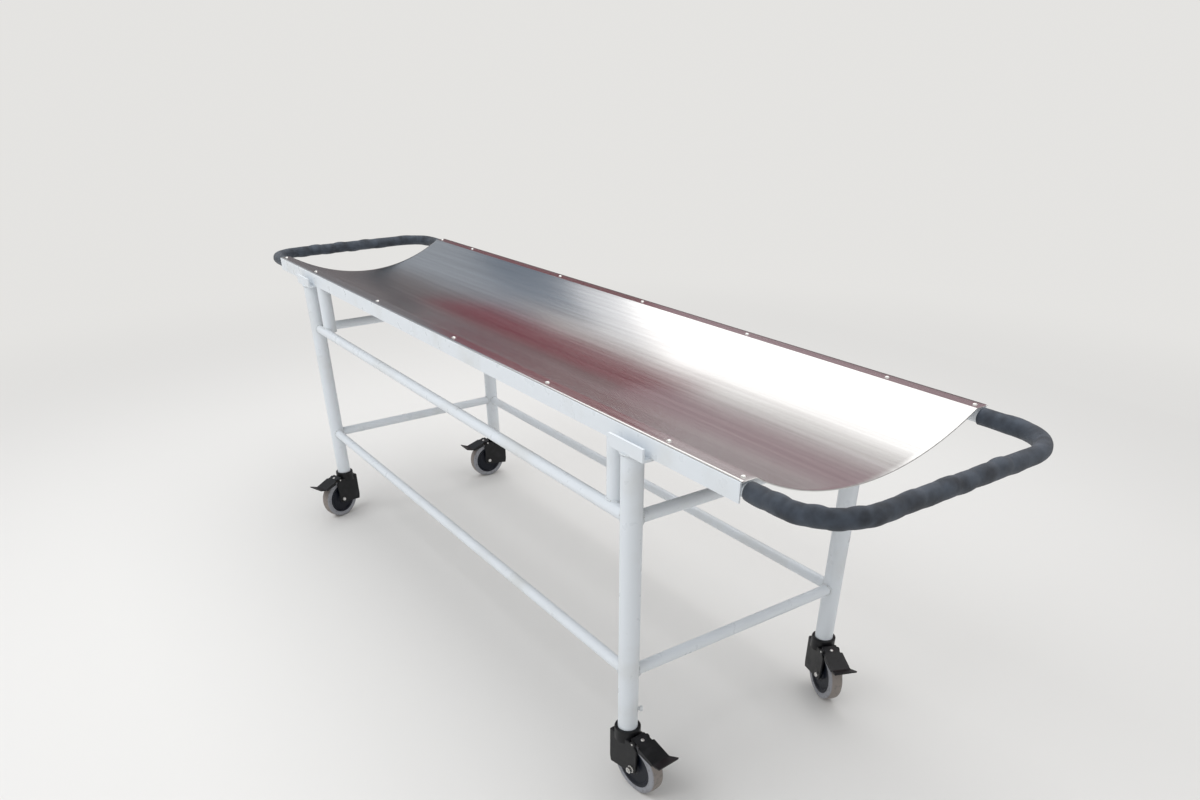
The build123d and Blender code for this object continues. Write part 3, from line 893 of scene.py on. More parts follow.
@dataclass(frozen=True)
class Panel:
    """A plain coloured panel outside the picture, for the steel to reflect.

    It lies level where its limits along Z are one height. Where its limits along Y are one
    place, it stands upright and faces the trolley's side.

    Attributes:
        name: Its name.
        x: Its limits along X.
        y: Its limits along Y.
        z: Its limits along Z.
        colour: The colour that it shows.
    """

    name: str
    x: Pair
    y: Pair
    z: Pair
    colour: Colour

    def corners(self) -> list[tuple[float, float, float]]:
        """Gives the four corners, in order round the panel.

        Returns:
            The corners.
        """
        if self.z[0] == self.z[1]:
            order = ((0, 0), (0, 1), (1, 1), (1, 0))
            return [(self.x[first], self.y[second], self.z[0]) for first, second in order]
        order = ((0, 0), (1, 0), (1, 1), (0, 1))
        return [(self.x[first], self.y[0], self.z[second]) for first, second in order]

    def build(self) -> None:
        """Makes the panel, unseen by the camera, and without light or shadow on matt surfaces."""
        graph = ShaderGraph(self.name)
        glow = graph.node("ShaderNodeEmission", {"Color": (*self.colour, 1.0)})
        graph.link(glow.outputs[0], graph.output.inputs["Surface"])
        one_face = [(0, 1, 2, 3)]
        piece = mesh_piece(self.name, self.corners(), one_face, graph.material, smooth=False)
        piece.visible_camera = False
        piece.visible_diffuse = False
        piece.visible_shadow = False


@dataclass
class Studio:
    """Camera, floor, soft lamps and the panels that the steel reflects."""

    eye: tuple[float, float, float] = (1.9416, -1.1253, 1.3028)
    yaw: float = 146.21
    pitch: float = -33.73
    roll: float = -0.616
    lens_mm: float = 25.62
    centre_px: Pair = (592.5, 634.6)
    floor_radius: float = 40.0
    floor_steps: int = 96
    floor_colour: Colour = (0.735, 0.72, 0.70)
    floor_roughness: float = 0.8
    floor_specular: float = 0.2
    backdrop: Colour = (0.78, 0.772, 0.755)
    fade_start: float = 1.7
    fade_end: float = 4.6
    sky: float = 0.74
    sky_colour: Colour = (0.97, 0.985, 1.0)
    lamps: tuple[Lamp, ...] = (
        Lamp("softbox", (-0.55, 0.85, 3.0), (-0.55, 0.85, 0.0), (4.5, 2.2), 1.5),
        Lamp(
            "fill", (-0.1, -2.5, 3.3), (0.0, 0.0, 0.4), (3.4, 2.0), 2.7, (0.95, 0.975, 1.0),
            mirrored=False,
        ),
    )
    panels: tuple[Panel, ...] = (
        Panel("pale_panel", (-3.5, -2.82), (-0.6, 1.75), (3.02, 3.02), (1.12, 1.15, 1.2)),
        Panel("slate_panel", (-4.9, -3.5), (-0.6, 1.65), (3.02, 3.02), (0.23, 0.28, 0.35)),
        Panel("grey_panel", (-9.0, -4.9), (-1.5, 2.4), (3.02, 3.02), (0.42, 0.46, 0.51)),
        Panel("wine_panel", (-7.2, -3.4), (3.0, 3.0), (1.75, 3.6), (0.25, 0.055, 0.075)),
        Panel("mauve_panel", (-3.4, 2.2), (3.0, 3.0), (1.25, 2.95), (0.40, 0.27, 0.30)),
        Panel("stone_panel", (-9.5, 2.2), (3.04, 3.04), (0.0, 1.9), (0.22, 0.20, 0.20)),
        Panel("dusk_panel", (-24.0, -7.2), (3.02, 3.02), (0.0, 4.6), (0.21, 0.19, 0.195)),
        Panel("rug_panel", (-24.0, 2.0), (0.95, 3.04), (0.05, 0.05), (0.20, 0.18, 0.185)),
    )

    def camera(self) -> None:
        """Makes the camera where the photograph was taken from."""
        yaw, pitch, roll = (math.radians(angle) for angle in (self.yaw, self.pitch, self.roll))
        ahead = Vector((
            math.cos(pitch) * math.cos(yaw), math.cos(pitch) * math.sin(yaw), math.sin(pitch),
        ))
        level = ahead.cross(UP).normalized()
        upward = level.cross(ahead)
        right = level * math.cos(roll) + upward * math.sin(roll)
        up = upward * math.cos(roll) - level * math.sin(roll)
        data = bpy.data.cameras.new("camera")
        data.lens = self.lens_mm
        data.shift_x = (IMAGE_PX[0] / 2 - self.centre_px[0]) / IMAGE_PX[0]
        data.shift_y = (self.centre_px[1] - IMAGE_PX[1] / 2) / IMAGE_PX[0]
        camera = bpy.data.objects.new("camera", data)
        turn = Matrix((right, up, -ahead)).transposed().to_4x4()
        camera.matrix_world = Matrix.Translation(self.eye) @ turn
        bpy.context.scene.collection.objects.link(camera)
        bpy.context.scene.camera = camera

    def world(self) -> None:
        """Lights the room evenly, and shows the plain backdrop to the camera and in the steel."""
        world = bpy.data.worlds.new("room")
        world.use_nodes = True
        bpy.context.scene.world = world
        room = Wiring(world.node_tree)
        room.tree.nodes.clear()
        rays = room.node("ShaderNodeLightPath").outputs
        seen = rays["Is Camera Ray"]
        for name in ("Is Glossy Ray", "Is Transmission Ray"):
            either = room.node("ShaderNodeMath", {0: seen, 1: rays[name]}, operation="MAXIMUM")
            seen = either.outputs[0]
        lit = room.node("ShaderNodeBackground", {
            "Color": (*self.sky_colour, 1.0), "Strength": self.sky,
        })
        shown = room.node("ShaderNodeBackground", {"Color": (*self.backdrop, 1.0)})
        mix = room.node("ShaderNodeMixShader", {0: seen, 1: lit.outputs[0], 2: shown.outputs[0]})
        room.node("ShaderNodeOutputWorld", {"Surface": mix.outputs[0]})

    def floor(self) -> None:
        """Lays the pale floor, which fades into the backdrop far away."""
        graph = ShaderGraph("floor")
        graph.set(
            Base_Color=(*self.floor_colour, 1.0), Roughness=self.floor_roughness,
            Specular_IOR_Level=self.floor_specular,
        )
        distance = graph.node("ShaderNodeVectorMath", {0: graph.place}, operation="LENGTH")
        far = graph.node("ShaderNodeMapRange", {
            "Value": distance.outputs["Value"], "From Min": self.fade_start,
            "From Max": self.fade_end,
        }, interpolation_type="SMOOTHSTEP")
        glow = graph.node("ShaderNodeEmission", {"Color": (*self.backdrop, 1.0)})
        mix = graph.node("ShaderNodeMixShader", {
            0: far.outputs["Result"], 1: graph.shader.outputs["BSDF"], 2: glow.outputs[0],
        })
        graph.link(mix.outputs[0], graph.output.inputs["Surface"])
        rim = [
            (self.floor_radius * math.cos(angle), self.floor_radius * math.sin(angle), 0.0)
            for angle in angles_round(self.floor_steps)
        ]
        disc = [tuple(range(self.floor_steps))]
        mesh_piece("floor", rim, disc, graph.material, smooth=False)

    def build(self) -> None:
        """Builds the whole studio."""
        bpy.context.scene.view_settings.view_transform = "Standard"
        self.camera()
        self.world()
        self.floor()
        for fitting in self.lamps + self.panels:
            fitting.build()
        LOG.info("studio built, %d lamps and %d panels", len(self.lamps), len(self.panels))


@dataclass
class Stand:
    """The white tubular stand, with its weld beads."""

    finishes: Finishes
    body: str = "stand"
    bead_r: float = 2.3 * MM
    bead_lift: float = 0.5 * MM
    ripple_pitch: float = 2.6 * MM
    ripple_depth: float = 0.14
    wander: float = 0.9
    seed: float = 7.0
    steps: int = 56

    def leg_radius(self) -> float:
        """Radius of the legs."""
        low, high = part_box("leg_near_right")
        return (high.x - low.x) / 2

    def rail_rings(self) -> list[list[Vector]]:
        """Follows the closed lines where the rails' ends meet the legs.

        Returns:
            The points of each line.
        """
        rings = []
        leg_r = self.leg_radius() + self.bead_lift
        for rail in nodes_named("lower_side", "upper_side", "lower_end", "upper_end"):
            low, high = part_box(rail)
            along = 0 if "side" in rail else 1
            across = 1 - along
            radius = (high.z - low.z) / 2 + self.bead_lift
            for sign in (-1, 1):
                leg_at = sign * abs(middle("leg_near_right")[along])
                ring = []
                for angle in angles_round(self.steps):
                    side = radius * math.cos(angle)
                    point = middle(rail)
                    point[across] += side
                    point[along] = leg_at - sign * math.sqrt(leg_r**2 - side**2)
                    point.z += radius * math.sin(angle)
                    ring.append(point)
                rings.append(ring)
        return rings

    def leg_tops(self) -> list[list[Vector]]:
        """Follows the closed lines around the legs' tops, below the cradle brackets' plates.

        Returns:
            The points of each line.
        """
        radius = self.leg_radius() + self.bead_lift
        rings = []
        for leg in nodes_named("leg_near", "leg_far"):
            low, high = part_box(leg)
            centre = Vector(((low.x + high.x) / 2, (low.y + high.y) / 2, high.z - self.bead_lift))
            rings.append([
                centre + radius * Vector((math.cos(angle), math.sin(angle), 0.0))
                for angle in angles_round(self.steps)
            ])
        return rings

    def post_feet(self) -> list[list[Vector]]:
        """Follows the open lines where the posts' walls stand on the upper side rails.

        Returns:
            The points of each line.
        """
        lines = []
        for post in nodes_named("post_"):
            low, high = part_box(post)
            centre = middle(post)
            post_r = (high.x - low.x) / 2 + self.bead_lift
            rail = "upper_side_rail_near" if centre.y < 0 else "upper_side_rail_far"
            rail_low, rail_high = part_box(rail)
            rail_r = (rail_high.z - rail_low.z) / 2 + self.bead_lift
            rail_y = (rail_low.y + rail_high.y) / 2
            rail_z = (rail_low.z + rail_high.z) / 2
            offset = abs(rail_y - centre.y)
            side = 1 if rail_y > centre.y else -1
            reach = math.acos((offset - rail_r) / post_r)
            line = []
            for step in range(self.steps + 1):
                angle = -reach + 2 * reach * step / self.steps
                out = post_r * math.cos(angle)
                rise = math.sqrt(max(0.0, rail_r**2 - (out - offset) ** 2))
                line.append(Vector((
                    centre.x + post_r * math.sin(angle), centre.y + side * out, rail_z + rise,
                )))
            lines.append(line)
        return lines

    def beads(self) -> None:
        """Lays the weld beads."""
        points, edges = [], []
        for ring in self.rail_rings() + self.leg_tops():
            first, count = len(points), len(ring)
            points += ring
            edges += [(first + k, first + (k + 1) % count) for k in range(count)]
        for line in self.post_feet():
            first = len(points)
            points += line
            edges += [(first + k, first + k + 1) for k in range(len(line) - 1)]
        mesh = bpy.data.meshes.new("weld_beads")
        mesh.from_pydata([tuple(point) for point in points], edges, [])
        piece = BeadTree().grow(new_piece("weld_beads", mesh), {
            "Bead radius": self.bead_r, "Ripple pitch": self.ripple_pitch,
            "Ripple depth": self.ripple_depth, "Wander": self.wander, "Seed": self.seed,
            "Finish": self.finishes.weld,
        })
        seat(piece, self.body, Slot.PAINT)

    def build(self) -> None:
        """Dresses the tubes and adds the beads."""
        dress(self.finishes.paint, *nodes_named(
            "leg_", "lower_", "upper_", "post_", "cradle_bracket_",
        ))
        dress(self.finishes.zinc, *nodes_named("stem_"))
        self.beads()


@dataclass
class Tray:
    """The rolled stainless trough with its flanges, hems and rivets.

    A wave's three numbers are its waves per metre along and across the tray, and the level at
    which the noise is read.
    """

    finishes: Finishes
    body: str = "stretcher"
    sheet: float = 1.5 * MM
    depth: float = 71.0 * MM
    chord: float = 526.0 * MM
    bend_r: float = 4.0 * MM
    hem: float = 12.0 * MM
    hem_start: float = 4.5 * MM
    step: float = 0.3 * MM
    stations_along: int = 190
    stations_across: int = 84
    flange_steps: int = 5
    bend_steps: int = 6
    nose_steps: int = 5
    wave: float = 0.45 * MM
    long_wave: tuple[float, float, float] = (2.2, 5.0, 3.0)
    short_wave: tuple[float, float, float] = (6.0, 11.0, 9.0)
    short_share: float = 0.35
    rivet_cell: float = 20.0 * MM
    rivet_apart: float = 30.0 * MM
    head_d: float = 10.0 * MM
    head_h: float = 2.6 * MM
    shank_d: float = 4.8 * MM
    grip: float = 4.5 * MM
    tail_h: float = 1.6 * MM
    rivet_seed: int = 4

    def __post_init__(self) -> None:
        """Reads the tray's place from its node."""
        _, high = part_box("tray")
        self.half = high.x
        self.width = high.y
        self.top = high.z
        deck = self.top - self.sheet
        outer = ((self.chord / 2) ** 2 + self.depth**2) / (2 * self.depth)
        self.axis_z = deck - self.depth + outer
        self.radius = outer - self.sheet

    def cross_path(self) -> list[tuple[Vector, Vector]]:
        """Follows the upper surface across the tray, from one edge to the other.

        Returns:
            Each point in the plane of Y and Z, with the surface's outward direction.
        """
        edge = math.sqrt(self.radius**2 - (self.axis_z - self.top) ** 2)
        tilt = math.asin(edge / self.radius)
        set_back = self.bend_r * math.tan(tilt / 2)
        half = []
        for k in range(self.flange_steps):
            y = self.width + (edge + set_back - self.width) * k / self.flange_steps
            half.append((Vector((y, self.top)), Vector((0.0, 1.0))))
        for k in range(self.bend_steps):
            turn = tilt * k / self.bend_steps
            outward = Vector((-math.sin(turn), math.cos(turn)))
            centre = Vector((edge + set_back, self.top - self.bend_r))
            half.append((centre + self.bend_r * outward, outward))
        last = tilt - set_back / self.radius
        for k in range(self.stations_across // 2 + 1):
            turn = last * (1 - 2 * k / self.stations_across)
            outward = Vector((-math.sin(turn), math.cos(turn)))
            half.append((Vector((0.0, self.axis_z)) - self.radius * outward, outward))
        mirrored = [
            (Vector((-point.x, point.y)), Vector((-out.x, out.y))) for point, out in half[:-1]
        ]
        return mirrored + [(point, out) for point, out in reversed(half)]

    def along(self) -> list[float]:
        """Spaces out the places along X, closer together at the hems.

        Returns:
            The places.
        """
        inner = self.half - self.hem
        middle_part = [
            inner * (2 * k / self.stations_along - 1) for k in range(1, self.stations_along)
        ]
        rear = [-self.half + self.sheet, -inner - self.step, -inner]
        return rear + middle_part + [-x for x in reversed(rear)]

    def ripple(self, x: float, y: float) -> float:
        """Slight unevenness of the thin sheet.

        Args:
            x: Place along the tray.
            y: Place across it.

        Returns:
            Height above the true trough, fading out towards the flanges.
        """
        calm = max(0.0, 1.0 - (2 * y / self.chord) ** 2) ** 2
        long_height, short_height = (
            noise.noise(Vector((x * along_per_m, y * across_per_m, level)))
            for along_per_m, across_per_m, level in (self.long_wave, self.short_wave)
        )
        return self.wave * calm * (long_height + self.short_share * short_height)

    def lengthwise_loop(self, xs: list[float], fold: float) -> list[Pair]:
        """Goes once round the sheet's section along the tray, hems and rounded noses included.

        Args:
            xs: Places along the upper surface.
            fold: How far the hem reaches below the sheet.

        Returns:
            Each point's place along X, and its height above the upper surface.
        """
        nose = (self.sheet + fold) / 2
        turns = [
            math.pi * (0.5 - k / (self.nose_steps + 1)) for k in range(1, self.nose_steps + 1)
        ]
        loop = [(x, 0.0) for x in xs]
        loop += [
            (self.half - self.sheet + self.sheet * math.cos(turn), nose * (math.sin(turn) - 1))
            for turn in turns
        ]
        for x in reversed(xs):
            hemmed = abs(x) > self.half - self.hem
            loop.append((x, -self.sheet - (fold if hemmed else 0.0)))
        loop += [
            (-self.half + self.sheet - self.sheet * math.cos(turn), -nose * (math.sin(turn) + 1))
            for turn in turns
        ]
        return loop

    def build_sheet(self) -> bpy.types.Object:
        """Builds the sheet.

        Returns:
            The tray's piece, with its grain map.
        """
        xs = self.along()
        path = self.cross_path()
        points, grain = [], []
        travelled = 0.0
        previous = path[0][0]
        for place, outward in path:
            travelled += (place - previous).length
            previous = place
            in_trough = smoothstep((self.top - self.hem_start - place.y) / self.hem_start + 0.5)
            for x, offset in self.lengthwise_loop(xs, self.sheet * in_trough):
                raised = offset + self.ripple(x, place.x)
                spot = place + outward * raised
                points.append((x, spot.x, spot.y))
                grain.append((travelled, x))
        size = 2 * len(xs) + 2 * self.nose_steps
        faces = faces_between(len(path), size, closed=False)
        faces += self.edge_faces(len(xs), size, 0, False)
        faces += self.edge_faces(len(xs), size, (len(path) - 1) * size, True)
        piece = mesh_piece("tray_sheet", points, faces, self.finishes.sheet)
        layer = piece.data.uv_layers.new(name=GRAIN_MAP)
        for corner in piece.data.loops:
            layer.data[corner.index].uv = grain[corner.vertex_index]
        return piece

    def edge_faces(self, count: int, size: int, base: int, turned: bool) -> list[tuple]:
        """Lists the faces that close the sheet along one long edge.

        Args:
            count: Points along the upper surface.
            size: Points in the whole loop.
            base: The loop's first point.
            turned: Whether the order of each face's points is turned round.

        Returns:
            The faces.
        """
        faces = []
        under = count + self.nose_steps
        for k in range(count - 1):
            low = under + count - 1 - k
            faces.append((base + k, base + low, base + low - 1, base + k + 1))
        faces.append(tuple(base + k for k in range(count - 1, under + 1)))
        faces.append(tuple([base + k for k in range(under + count - 1, size)] + [base]))
        return [tuple(reversed(face)) for face in faces] if turned else faces

    def rivet_spots(self) -> list[tuple[float, float, float]]:
        """Finds the middles of the node's rivets, at the flanges' upper side.

        Returns:
            The places.
        """
        cells = {}
        for vertex in frame["nodes"]["rivets"].data.vertices:
            key = (round(vertex.co.x / self.rivet_cell), vertex.co.y > 0)
            cells.setdefault(key, []).append(vertex.co)
        spots = []
        for corners in cells.values():
            xs = [corner.x for corner in corners]
            ys = [corner.y for corner in corners]
            spots.append(((min(xs) + max(xs)) / 2, (min(ys) + max(ys)) / 2, self.top))
        apart = []
        for spot in sorted(spots):
            if all((Vector(spot) - Vector(other)).length > self.rivet_apart for other in apart):
                apart.append(spot)
        return apart

    def rivets(self) -> None:
        """Sets a rivet on each of the node's rivets."""
        mesh = bpy.data.meshes.new("rivet_heads")
        mesh.from_pydata(self.rivet_spots(), [], [])
        piece = RivetTree().grow(new_piece("rivet_heads", mesh), {
            "Head diameter": self.head_d, "Head height": self.head_h,
            "Shank diameter": self.shank_d, "Grip length": self.grip,
            "Tail height": self.tail_h, "Seed": self.rivet_seed, "Finish": self.finishes.zinc,
        })
        seat(piece, self.body, Slot.ZINC, "rivets")

    def build(self) -> None:
        """Builds the sheet and its rivets."""
        piece = self.build_sheet()
        seat(piece, self.body, Slot.SHEET, "tray")
        self.rivets()


@dataclass(frozen=True)
class Fold:
    """A ridge in a foam sleeve.

    Attributes:
        at: Its place, as a share of the sleeve's length.
        reach: How far it reaches to each side along the sleeve.
        height: How far it stands out.
        side: Where around the sleeve it is highest, with 0 on the outside of the bends.
    """

    at: float
    reach: float
    height: float
    side: float


@dataclass
class FoamGrip:
    """A foam sleeve pushed over one handle, with folds where it was forced round the bend.

    One share of a fold's height is even all round the sleeve, and one share leans to its side.
    """

    end: End
    finishes: Finishes
    body: str = "stretcher"
    bend_r: float = 95.0 * MM
    bore_r: float = 12.75 * MM
    radius: float = 15.4 * MM
    edge_r: float = 1.2 * MM
    spacing: float = 3.0 * MM
    around: int = 40
    rings_per_bore_ring: int = 4
    folds: tuple[Fold, ...] = ()
    fold_gain: float = 1.4
    fold_even: float = 0.6
    fold_lean: float = 0.4
    fold_roundness: float = 0.7
    lumps_per_m: float = 30.0
    lumps_round: float = 0.8
    lump: float = 0.5 * MM
    small_lump: float = 0.25 * MM
    small_lump_scale: float = 4.0

    def __post_init__(self) -> None:
        """Reads the sleeve's place from its node."""
        self.node = f"grip_{self.end.name.lower()}"
        low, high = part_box(self.node)
        solid_r = (high.z - low.z) / 2
        self.height = (high.z + low.z) / 2
        sign = self.end.value
        self.start_x = min(sign * low.x, sign * high.x)
        self.far_x = max(sign * low.x, sign * high.x) - solid_r
        self.half_y = high.y - solid_r
        self.straight = self.far_x - self.bend_r - self.start_x
        self.arc = self.bend_r * math.pi / 2
        self.length = 2 * (self.straight + self.arc + self.half_y - self.bend_r)

    def route(self, distance: float) -> tuple[Vector, Vector]:
        """Follows the handle from its near end.

        Args:
            distance: How far along it.

        Returns:
            The place on the handle's middle line, and the direction of travel.
        """
        if distance > self.length / 2:
            place, ahead = self.route(self.length - distance)
            return Vector((place.x, -place.y, place.z)), Vector((-ahead.x, ahead.y, 0.0))
        turned = min(max((distance - self.straight) / self.bend_r, 0.0), math.pi / 2)
        place = Vector((
            self.start_x + min(distance, self.straight) + self.bend_r * math.sin(turned),
            -self.half_y + self.bend_r * (1 - math.cos(turned))
            + max(0.0, distance - self.straight - self.arc),
            self.height,
        ))
        place.x *= self.end.value
        return place, Vector((self.end.value * math.cos(turned), math.sin(turned), 0.0))

    def swell(self, distance: float, angle: float) -> float:
        """How far the foam stands out from an even sleeve.

        Args:
            distance: Place along the handle.
            angle: Place around it, with 0 on the outside of the bends.

        Returns:
            The extra radius.
        """
        total = 0.0
        for fold in self.folds:
            off = (distance / self.length - fold.at) * self.length / fold.reach
            if abs(off) < 1.0:
                lean = self.fold_even + self.fold_lean * math.cos(angle - math.radians(fold.side))
                crest = math.cos(off * math.pi / 2) ** self.fold_roundness
                total += self.fold_gain * fold.height * lean * crest
        spot = Vector((
            distance * self.lumps_per_m, math.cos(angle) * self.lumps_round,
            math.sin(angle) * self.lumps_round,
        ))
        lumps = self.lump * noise.noise(spot)
        small_lumps = self.small_lump * noise.noise(spot * self.small_lump_scale)
        return total + lumps + small_lumps

    def ring(self, distance: float, radius: float | None, shrink: float = 0.0) -> list[Vector]:
        """Places the points around the handle.

        Args:
            distance: Place along the handle.
            radius: An even radius, or None for the foam's own.
            shrink: How much smaller the foam's own radius is.

        Returns:
            The points.
        """
        place, ahead = self.route(distance)
        outward = ahead.cross(UP) * self.end.value
        points = []
        for angle in angles_round(self.around):
            size = radius or self.radius + self.swell(distance, angle) - shrink
            spoke = outward * math.cos(angle) + Vector((0, 0, math.sin(angle)))
            points.append(place + size * spoke)
        return points

    def build(self) -> None:
        """Builds the sleeve: its outside, its two cut ends and its bore."""
        count = round(self.length / self.spacing)
        rings = [self.ring(0.0, self.bore_r), self.ring(0.0, None, self.edge_r)]
        rings += [
            self.ring(self.edge_r + (self.length - 2 * self.edge_r) * k / count, None)
            for k in range(count + 1)
        ]
        rings += [self.ring(self.length, None, self.edge_r), self.ring(self.length, self.bore_r)]
        inner = count // self.rings_per_bore_ring
        rings += [self.ring(self.length * (1 - k / inner), self.bore_r) for k in range(1, inner)]
        points = [point for ring in rings for point in ring]
        faces = faces_between(len(rings), self.around, closed=True)
        if self.end is End.FRONT:
            faces = [tuple(reversed(face)) for face in faces]
        piece = mesh_piece(f"foam_{self.node}", points, faces, self.finishes.foam)
        seat(piece, self.body, Slot.FOAM, self.node)


@dataclass
class Stretcher:
    """The lift-off stretcher: side rails, handles, grips and tray."""

    finishes: Finishes

    def front_folds(self) -> tuple[Fold, ...]:
        """Lists the front sleeve's folds: close together round the near bend, sparse further on.

        Returns:
            The folds.
        """
        return (
            Fold(0.030, 0.020, 1.1 * MM, 250), Fold(0.075, 0.019, 1.7 * MM, 80),
            Fold(0.118, 0.016, 1.2 * MM, 250), Fold(0.152, 0.015, 1.9 * MM, 120),
            Fold(0.190, 0.014, 1.3 * MM, 260), Fold(0.225, 0.016, 1.6 * MM, 100),
            Fold(0.262, 0.017, 1.2 * MM, 240), Fold(0.305, 0.020, 1.0 * MM, 270),
            Fold(0.352, 0.022, 1.4 * MM, 90), Fold(0.405, 0.024, 1.2 * MM, 230),
            Fold(0.455, 0.022, 1.8 * MM, 110), Fold(0.505, 0.020, 1.6 * MM, 280),
            Fold(0.565, 0.026, 1.3 * MM, 60), Fold(0.615, 0.018, 2.2 * MM, 120),
            Fold(0.665, 0.022, 1.1 * MM, 260), Fold(0.915, 0.024, 0.9 * MM, 90),
        )

    def rear_folds(self) -> tuple[Fold, ...]:
        """Lists the rear sleeve's folds, mostly along its cross part.

        Returns:
            The folds.
        """
        return (
            Fold(0.060, 0.024, 0.9 * MM, 90), Fold(0.160, 0.022, 0.8 * MM, 250),
            Fold(0.290, 0.022, 1.4 * MM, 260), Fold(0.345, 0.020, 1.8 * MM, 80),
            Fold(0.400, 0.022, 1.4 * MM, 270), Fold(0.455, 0.020, 1.9 * MM, 110),
            Fold(0.515, 0.022, 1.5 * MM, 260), Fold(0.570, 0.020, 1.7 * MM, 70),
            Fold(0.640, 0.024, 1.2 * MM, 250), Fold(0.760, 0.024, 0.9 * MM, 100),
            Fold(0.870, 0.024, 1.1 * MM, 270),
        )

    def build(self) -> None:
        """Dresses the rails and builds the soft and sheet pieces."""
        dress(self.finishes.paint, *nodes_named("stretcher_rail_", "handle_"))
        Tray(self.finishes).build()
        FoamGrip(End.FRONT, self.finishes, folds=self.front_folds()).build()
        FoamGrip(End.REAR, self.finishes, folds=self.rear_folds()).build()


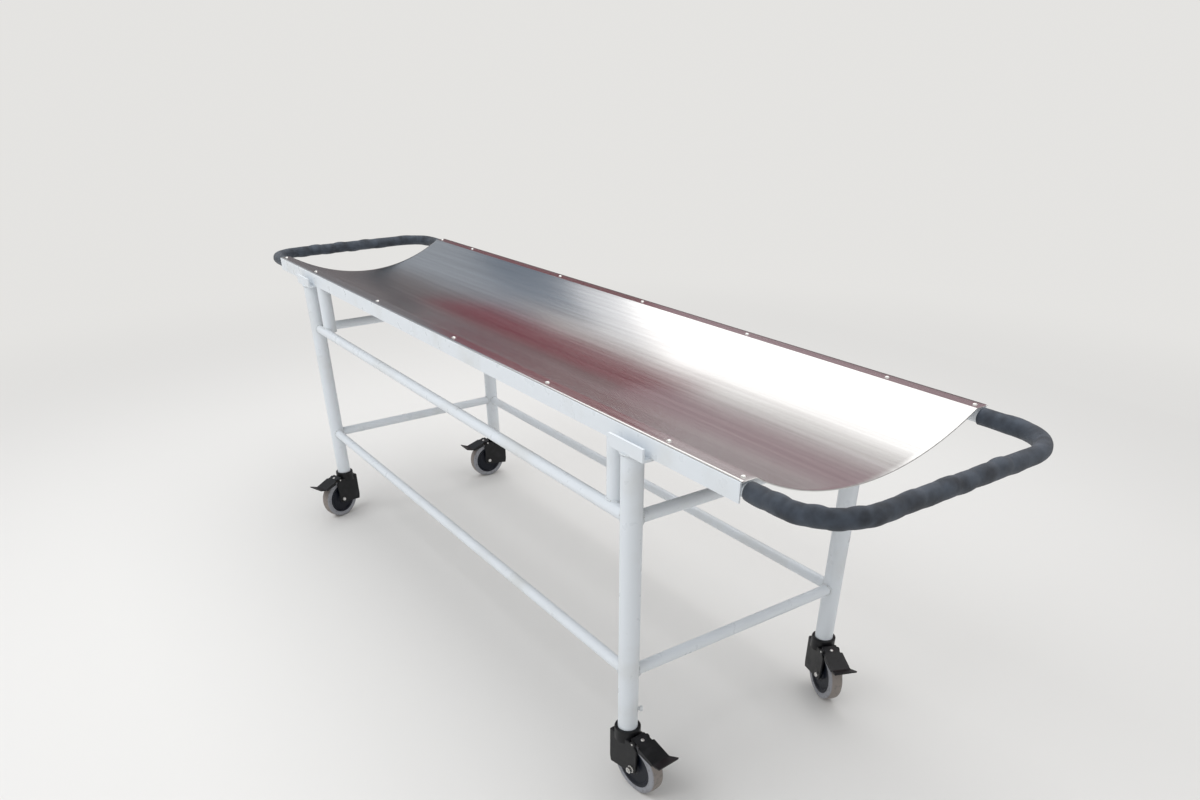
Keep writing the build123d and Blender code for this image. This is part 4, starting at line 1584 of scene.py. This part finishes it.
@dataclass
class Caster:
    """One braked caster: moulded fork and pedal, dark wheel core and grey tyre.

    The groove beside the tyre's seat is given as heights above the core and depths in from the
    side. The tread starts at a step of the shoulder, and takes as many steps to its full share.
    """

    corner: Corner
    finishes: Finishes
    tyre_r: float = 62.5 * MM
    core_r: float = 47.0 * MM
    half_width: float = 15.0 * MM
    groove: tuple[Pair, ...] = (
        (0.0, 0.0), (1.2 * MM, 0.0), (1.9 * MM, 0.5 * MM), (2.9 * MM, 0.5 * MM), (3.6 * MM, 0.0),
    )
    shoulder_r: float = 5.0 * MM
    shoulder_steps: int = 6
    tread_step: float = 2.5
    crown: float = 0.4 * MM
    steps: int = 72
    stud_behind: float = 47.0 * MM
    stud_d: float = 8.5 * MM
    stud_h: float = 2.2 * MM
    stud_rows: int = 6
    stud_around: int = 24
    probe_height: float = 200.0 * MM

    def __post_init__(self) -> None:
        """Reads the caster's place from the frame's joints."""
        self.name = self.corner.value
        places = {joint["name"]: joint for joint in frame["joints"]}
        pivot = Vector(places[f"swivel_{self.name}"]["pos_m"])
        spin = places[f"wheel_spin_{self.name}"]
        self.wheel = Vector(spin["pos_m"])
        self.axle = Vector(spin["axis"]).normalized()
        self.pivot = Vector((pivot.x, pivot.y, 0.0))
        trail = self.wheel - self.pivot
        self.trail = Vector((trail.x, trail.y, 0.0)).normalized()

    def tyre_profile(self) -> list[tuple[float, float, float]]:
        """Half of the tyre's section, from its seat on the core to the middle of the tread.

        Returns:
            Places as distance from the middle plane, radius and share of tread.
        """
        points = [
            (self.half_width - depth, self.core_r + rise, 0.0) for rise, depth in self.groove
        ]
        for k in range(self.shoulder_steps + 1):
            turn = math.pi / 2 * k / self.shoulder_steps
            points.append((
                self.half_width - self.shoulder_r + self.shoulder_r * math.cos(turn),
                self.tyre_r - self.crown - self.shoulder_r + self.shoulder_r * math.sin(turn),
                smoothstep((k - self.tread_step) / self.tread_step),
            ))
        points.append((self.half_width / 2, self.tyre_r - self.crown / 4, 1.0))
        points.append((0.0, self.tyre_r, 1.0))
        return points

    def build_tyre(self) -> None:
        """Builds the tyre with its tread attribute."""
        half = self.tyre_profile()
        section = half + [(-side, radius, worn) for side, radius, worn in reversed(half[:-1])]
        across = self.axle.cross(UP).normalized()
        points, wear = [], []
        for turn in angles_round(self.steps):
            spoke = across * math.cos(turn) + Vector((0, 0, math.sin(turn)))
            for side, radius, worn in section:
                points.append(self.wheel + self.axle * side + spoke * radius)
                wear.append(worn)
        faces = faces_between(self.steps, len(section), closed=True)
        piece = mesh_piece(f"tyre_ring_{self.name}", points, faces, self.finishes.tyre)
        layer = piece.data.attributes.new(TREAD, "FLOAT", "POINT")
        layer.data.foreach_set("value", wear)
        seat(piece, f"wheel_{self.name}", Slot.TYRE, f"tyre_{self.name}")

    def pedal_surface(self) -> tuple[Vector, Vector]:
        """Finds the pedal's top below the stud.

        Returns:
            The place on the surface and the surface's outward direction.
        """
        node = frame["nodes"][f"brake_pedal_{self.name}"]
        above = self.pivot + self.trail * self.stud_behind + Vector((0, 0, self.probe_height))
        hit, place, normal, _ = node.ray_cast(above, -UP)
        return (place, normal) if hit else (above, UP)

    def build_stud(self) -> None:
        """Adds the bright stud on the pedal."""
        place, normal = self.pedal_surface()
        lean = normal.to_track_quat("Z", "Y").to_matrix()
        rows, around = self.stud_rows, self.stud_around
        points, faces = [place + lean @ Vector((0, 0, self.stud_h))], []
        for row in range(1, rows + 1):
            turn = math.pi / 2 * row / rows
            for angle in angles_round(around):
                points.append(place + lean @ Vector((
                    self.stud_d / 2 * math.sin(turn) * math.cos(angle),
                    self.stud_d / 2 * math.sin(turn) * math.sin(angle),
                    self.stud_h * math.cos(turn),
                )))
        for k in range(around):
            after = (k + 1) % around
            faces.append((0, 1 + k, 1 + after))
            for row in range(rows - 1):
                upper, lower = 1 + row * around, 1 + (row + 1) * around
                faces.append((upper + k, lower + k, lower + after, upper + after))
        faces.append(tuple(reversed([1 + (rows - 1) * around + k for k in range(around)])))
        piece = mesh_piece(f"pedal_stud_{self.name}", points, faces, self.finishes.zinc)
        seat(piece, f"pedal_{self.name}", Slot.ZINC)

    def build(self) -> None:
        """Dresses the moulded and metal nodes and builds the tyre and the stud."""
        dress(self.finishes.moulded, f"caster_housing_{self.name}", f"brake_pedal_{self.name}")
        dress(self.finishes.zinc, f"axle_{self.name}", f"pedal_pin_{self.name}")
        dress(self.finishes.core, f"wheel_core_{self.name}")
        self.build_tyre()
        self.build_stud()


def main() -> None:
    """Builds the studio and dresses the trolley, sub-assembly by sub-assembly."""
    logging.basicConfig(level=logging.INFO, format="%(name)s: %(message)s")
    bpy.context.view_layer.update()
    Studio().build()
    finishes = Finishes()
    Stand(finishes).build()
    Stretcher(finishes).build()
    for corner in Corner:
        Caster(corner, finishes).build()


if __name__ == "__main__":
    main()
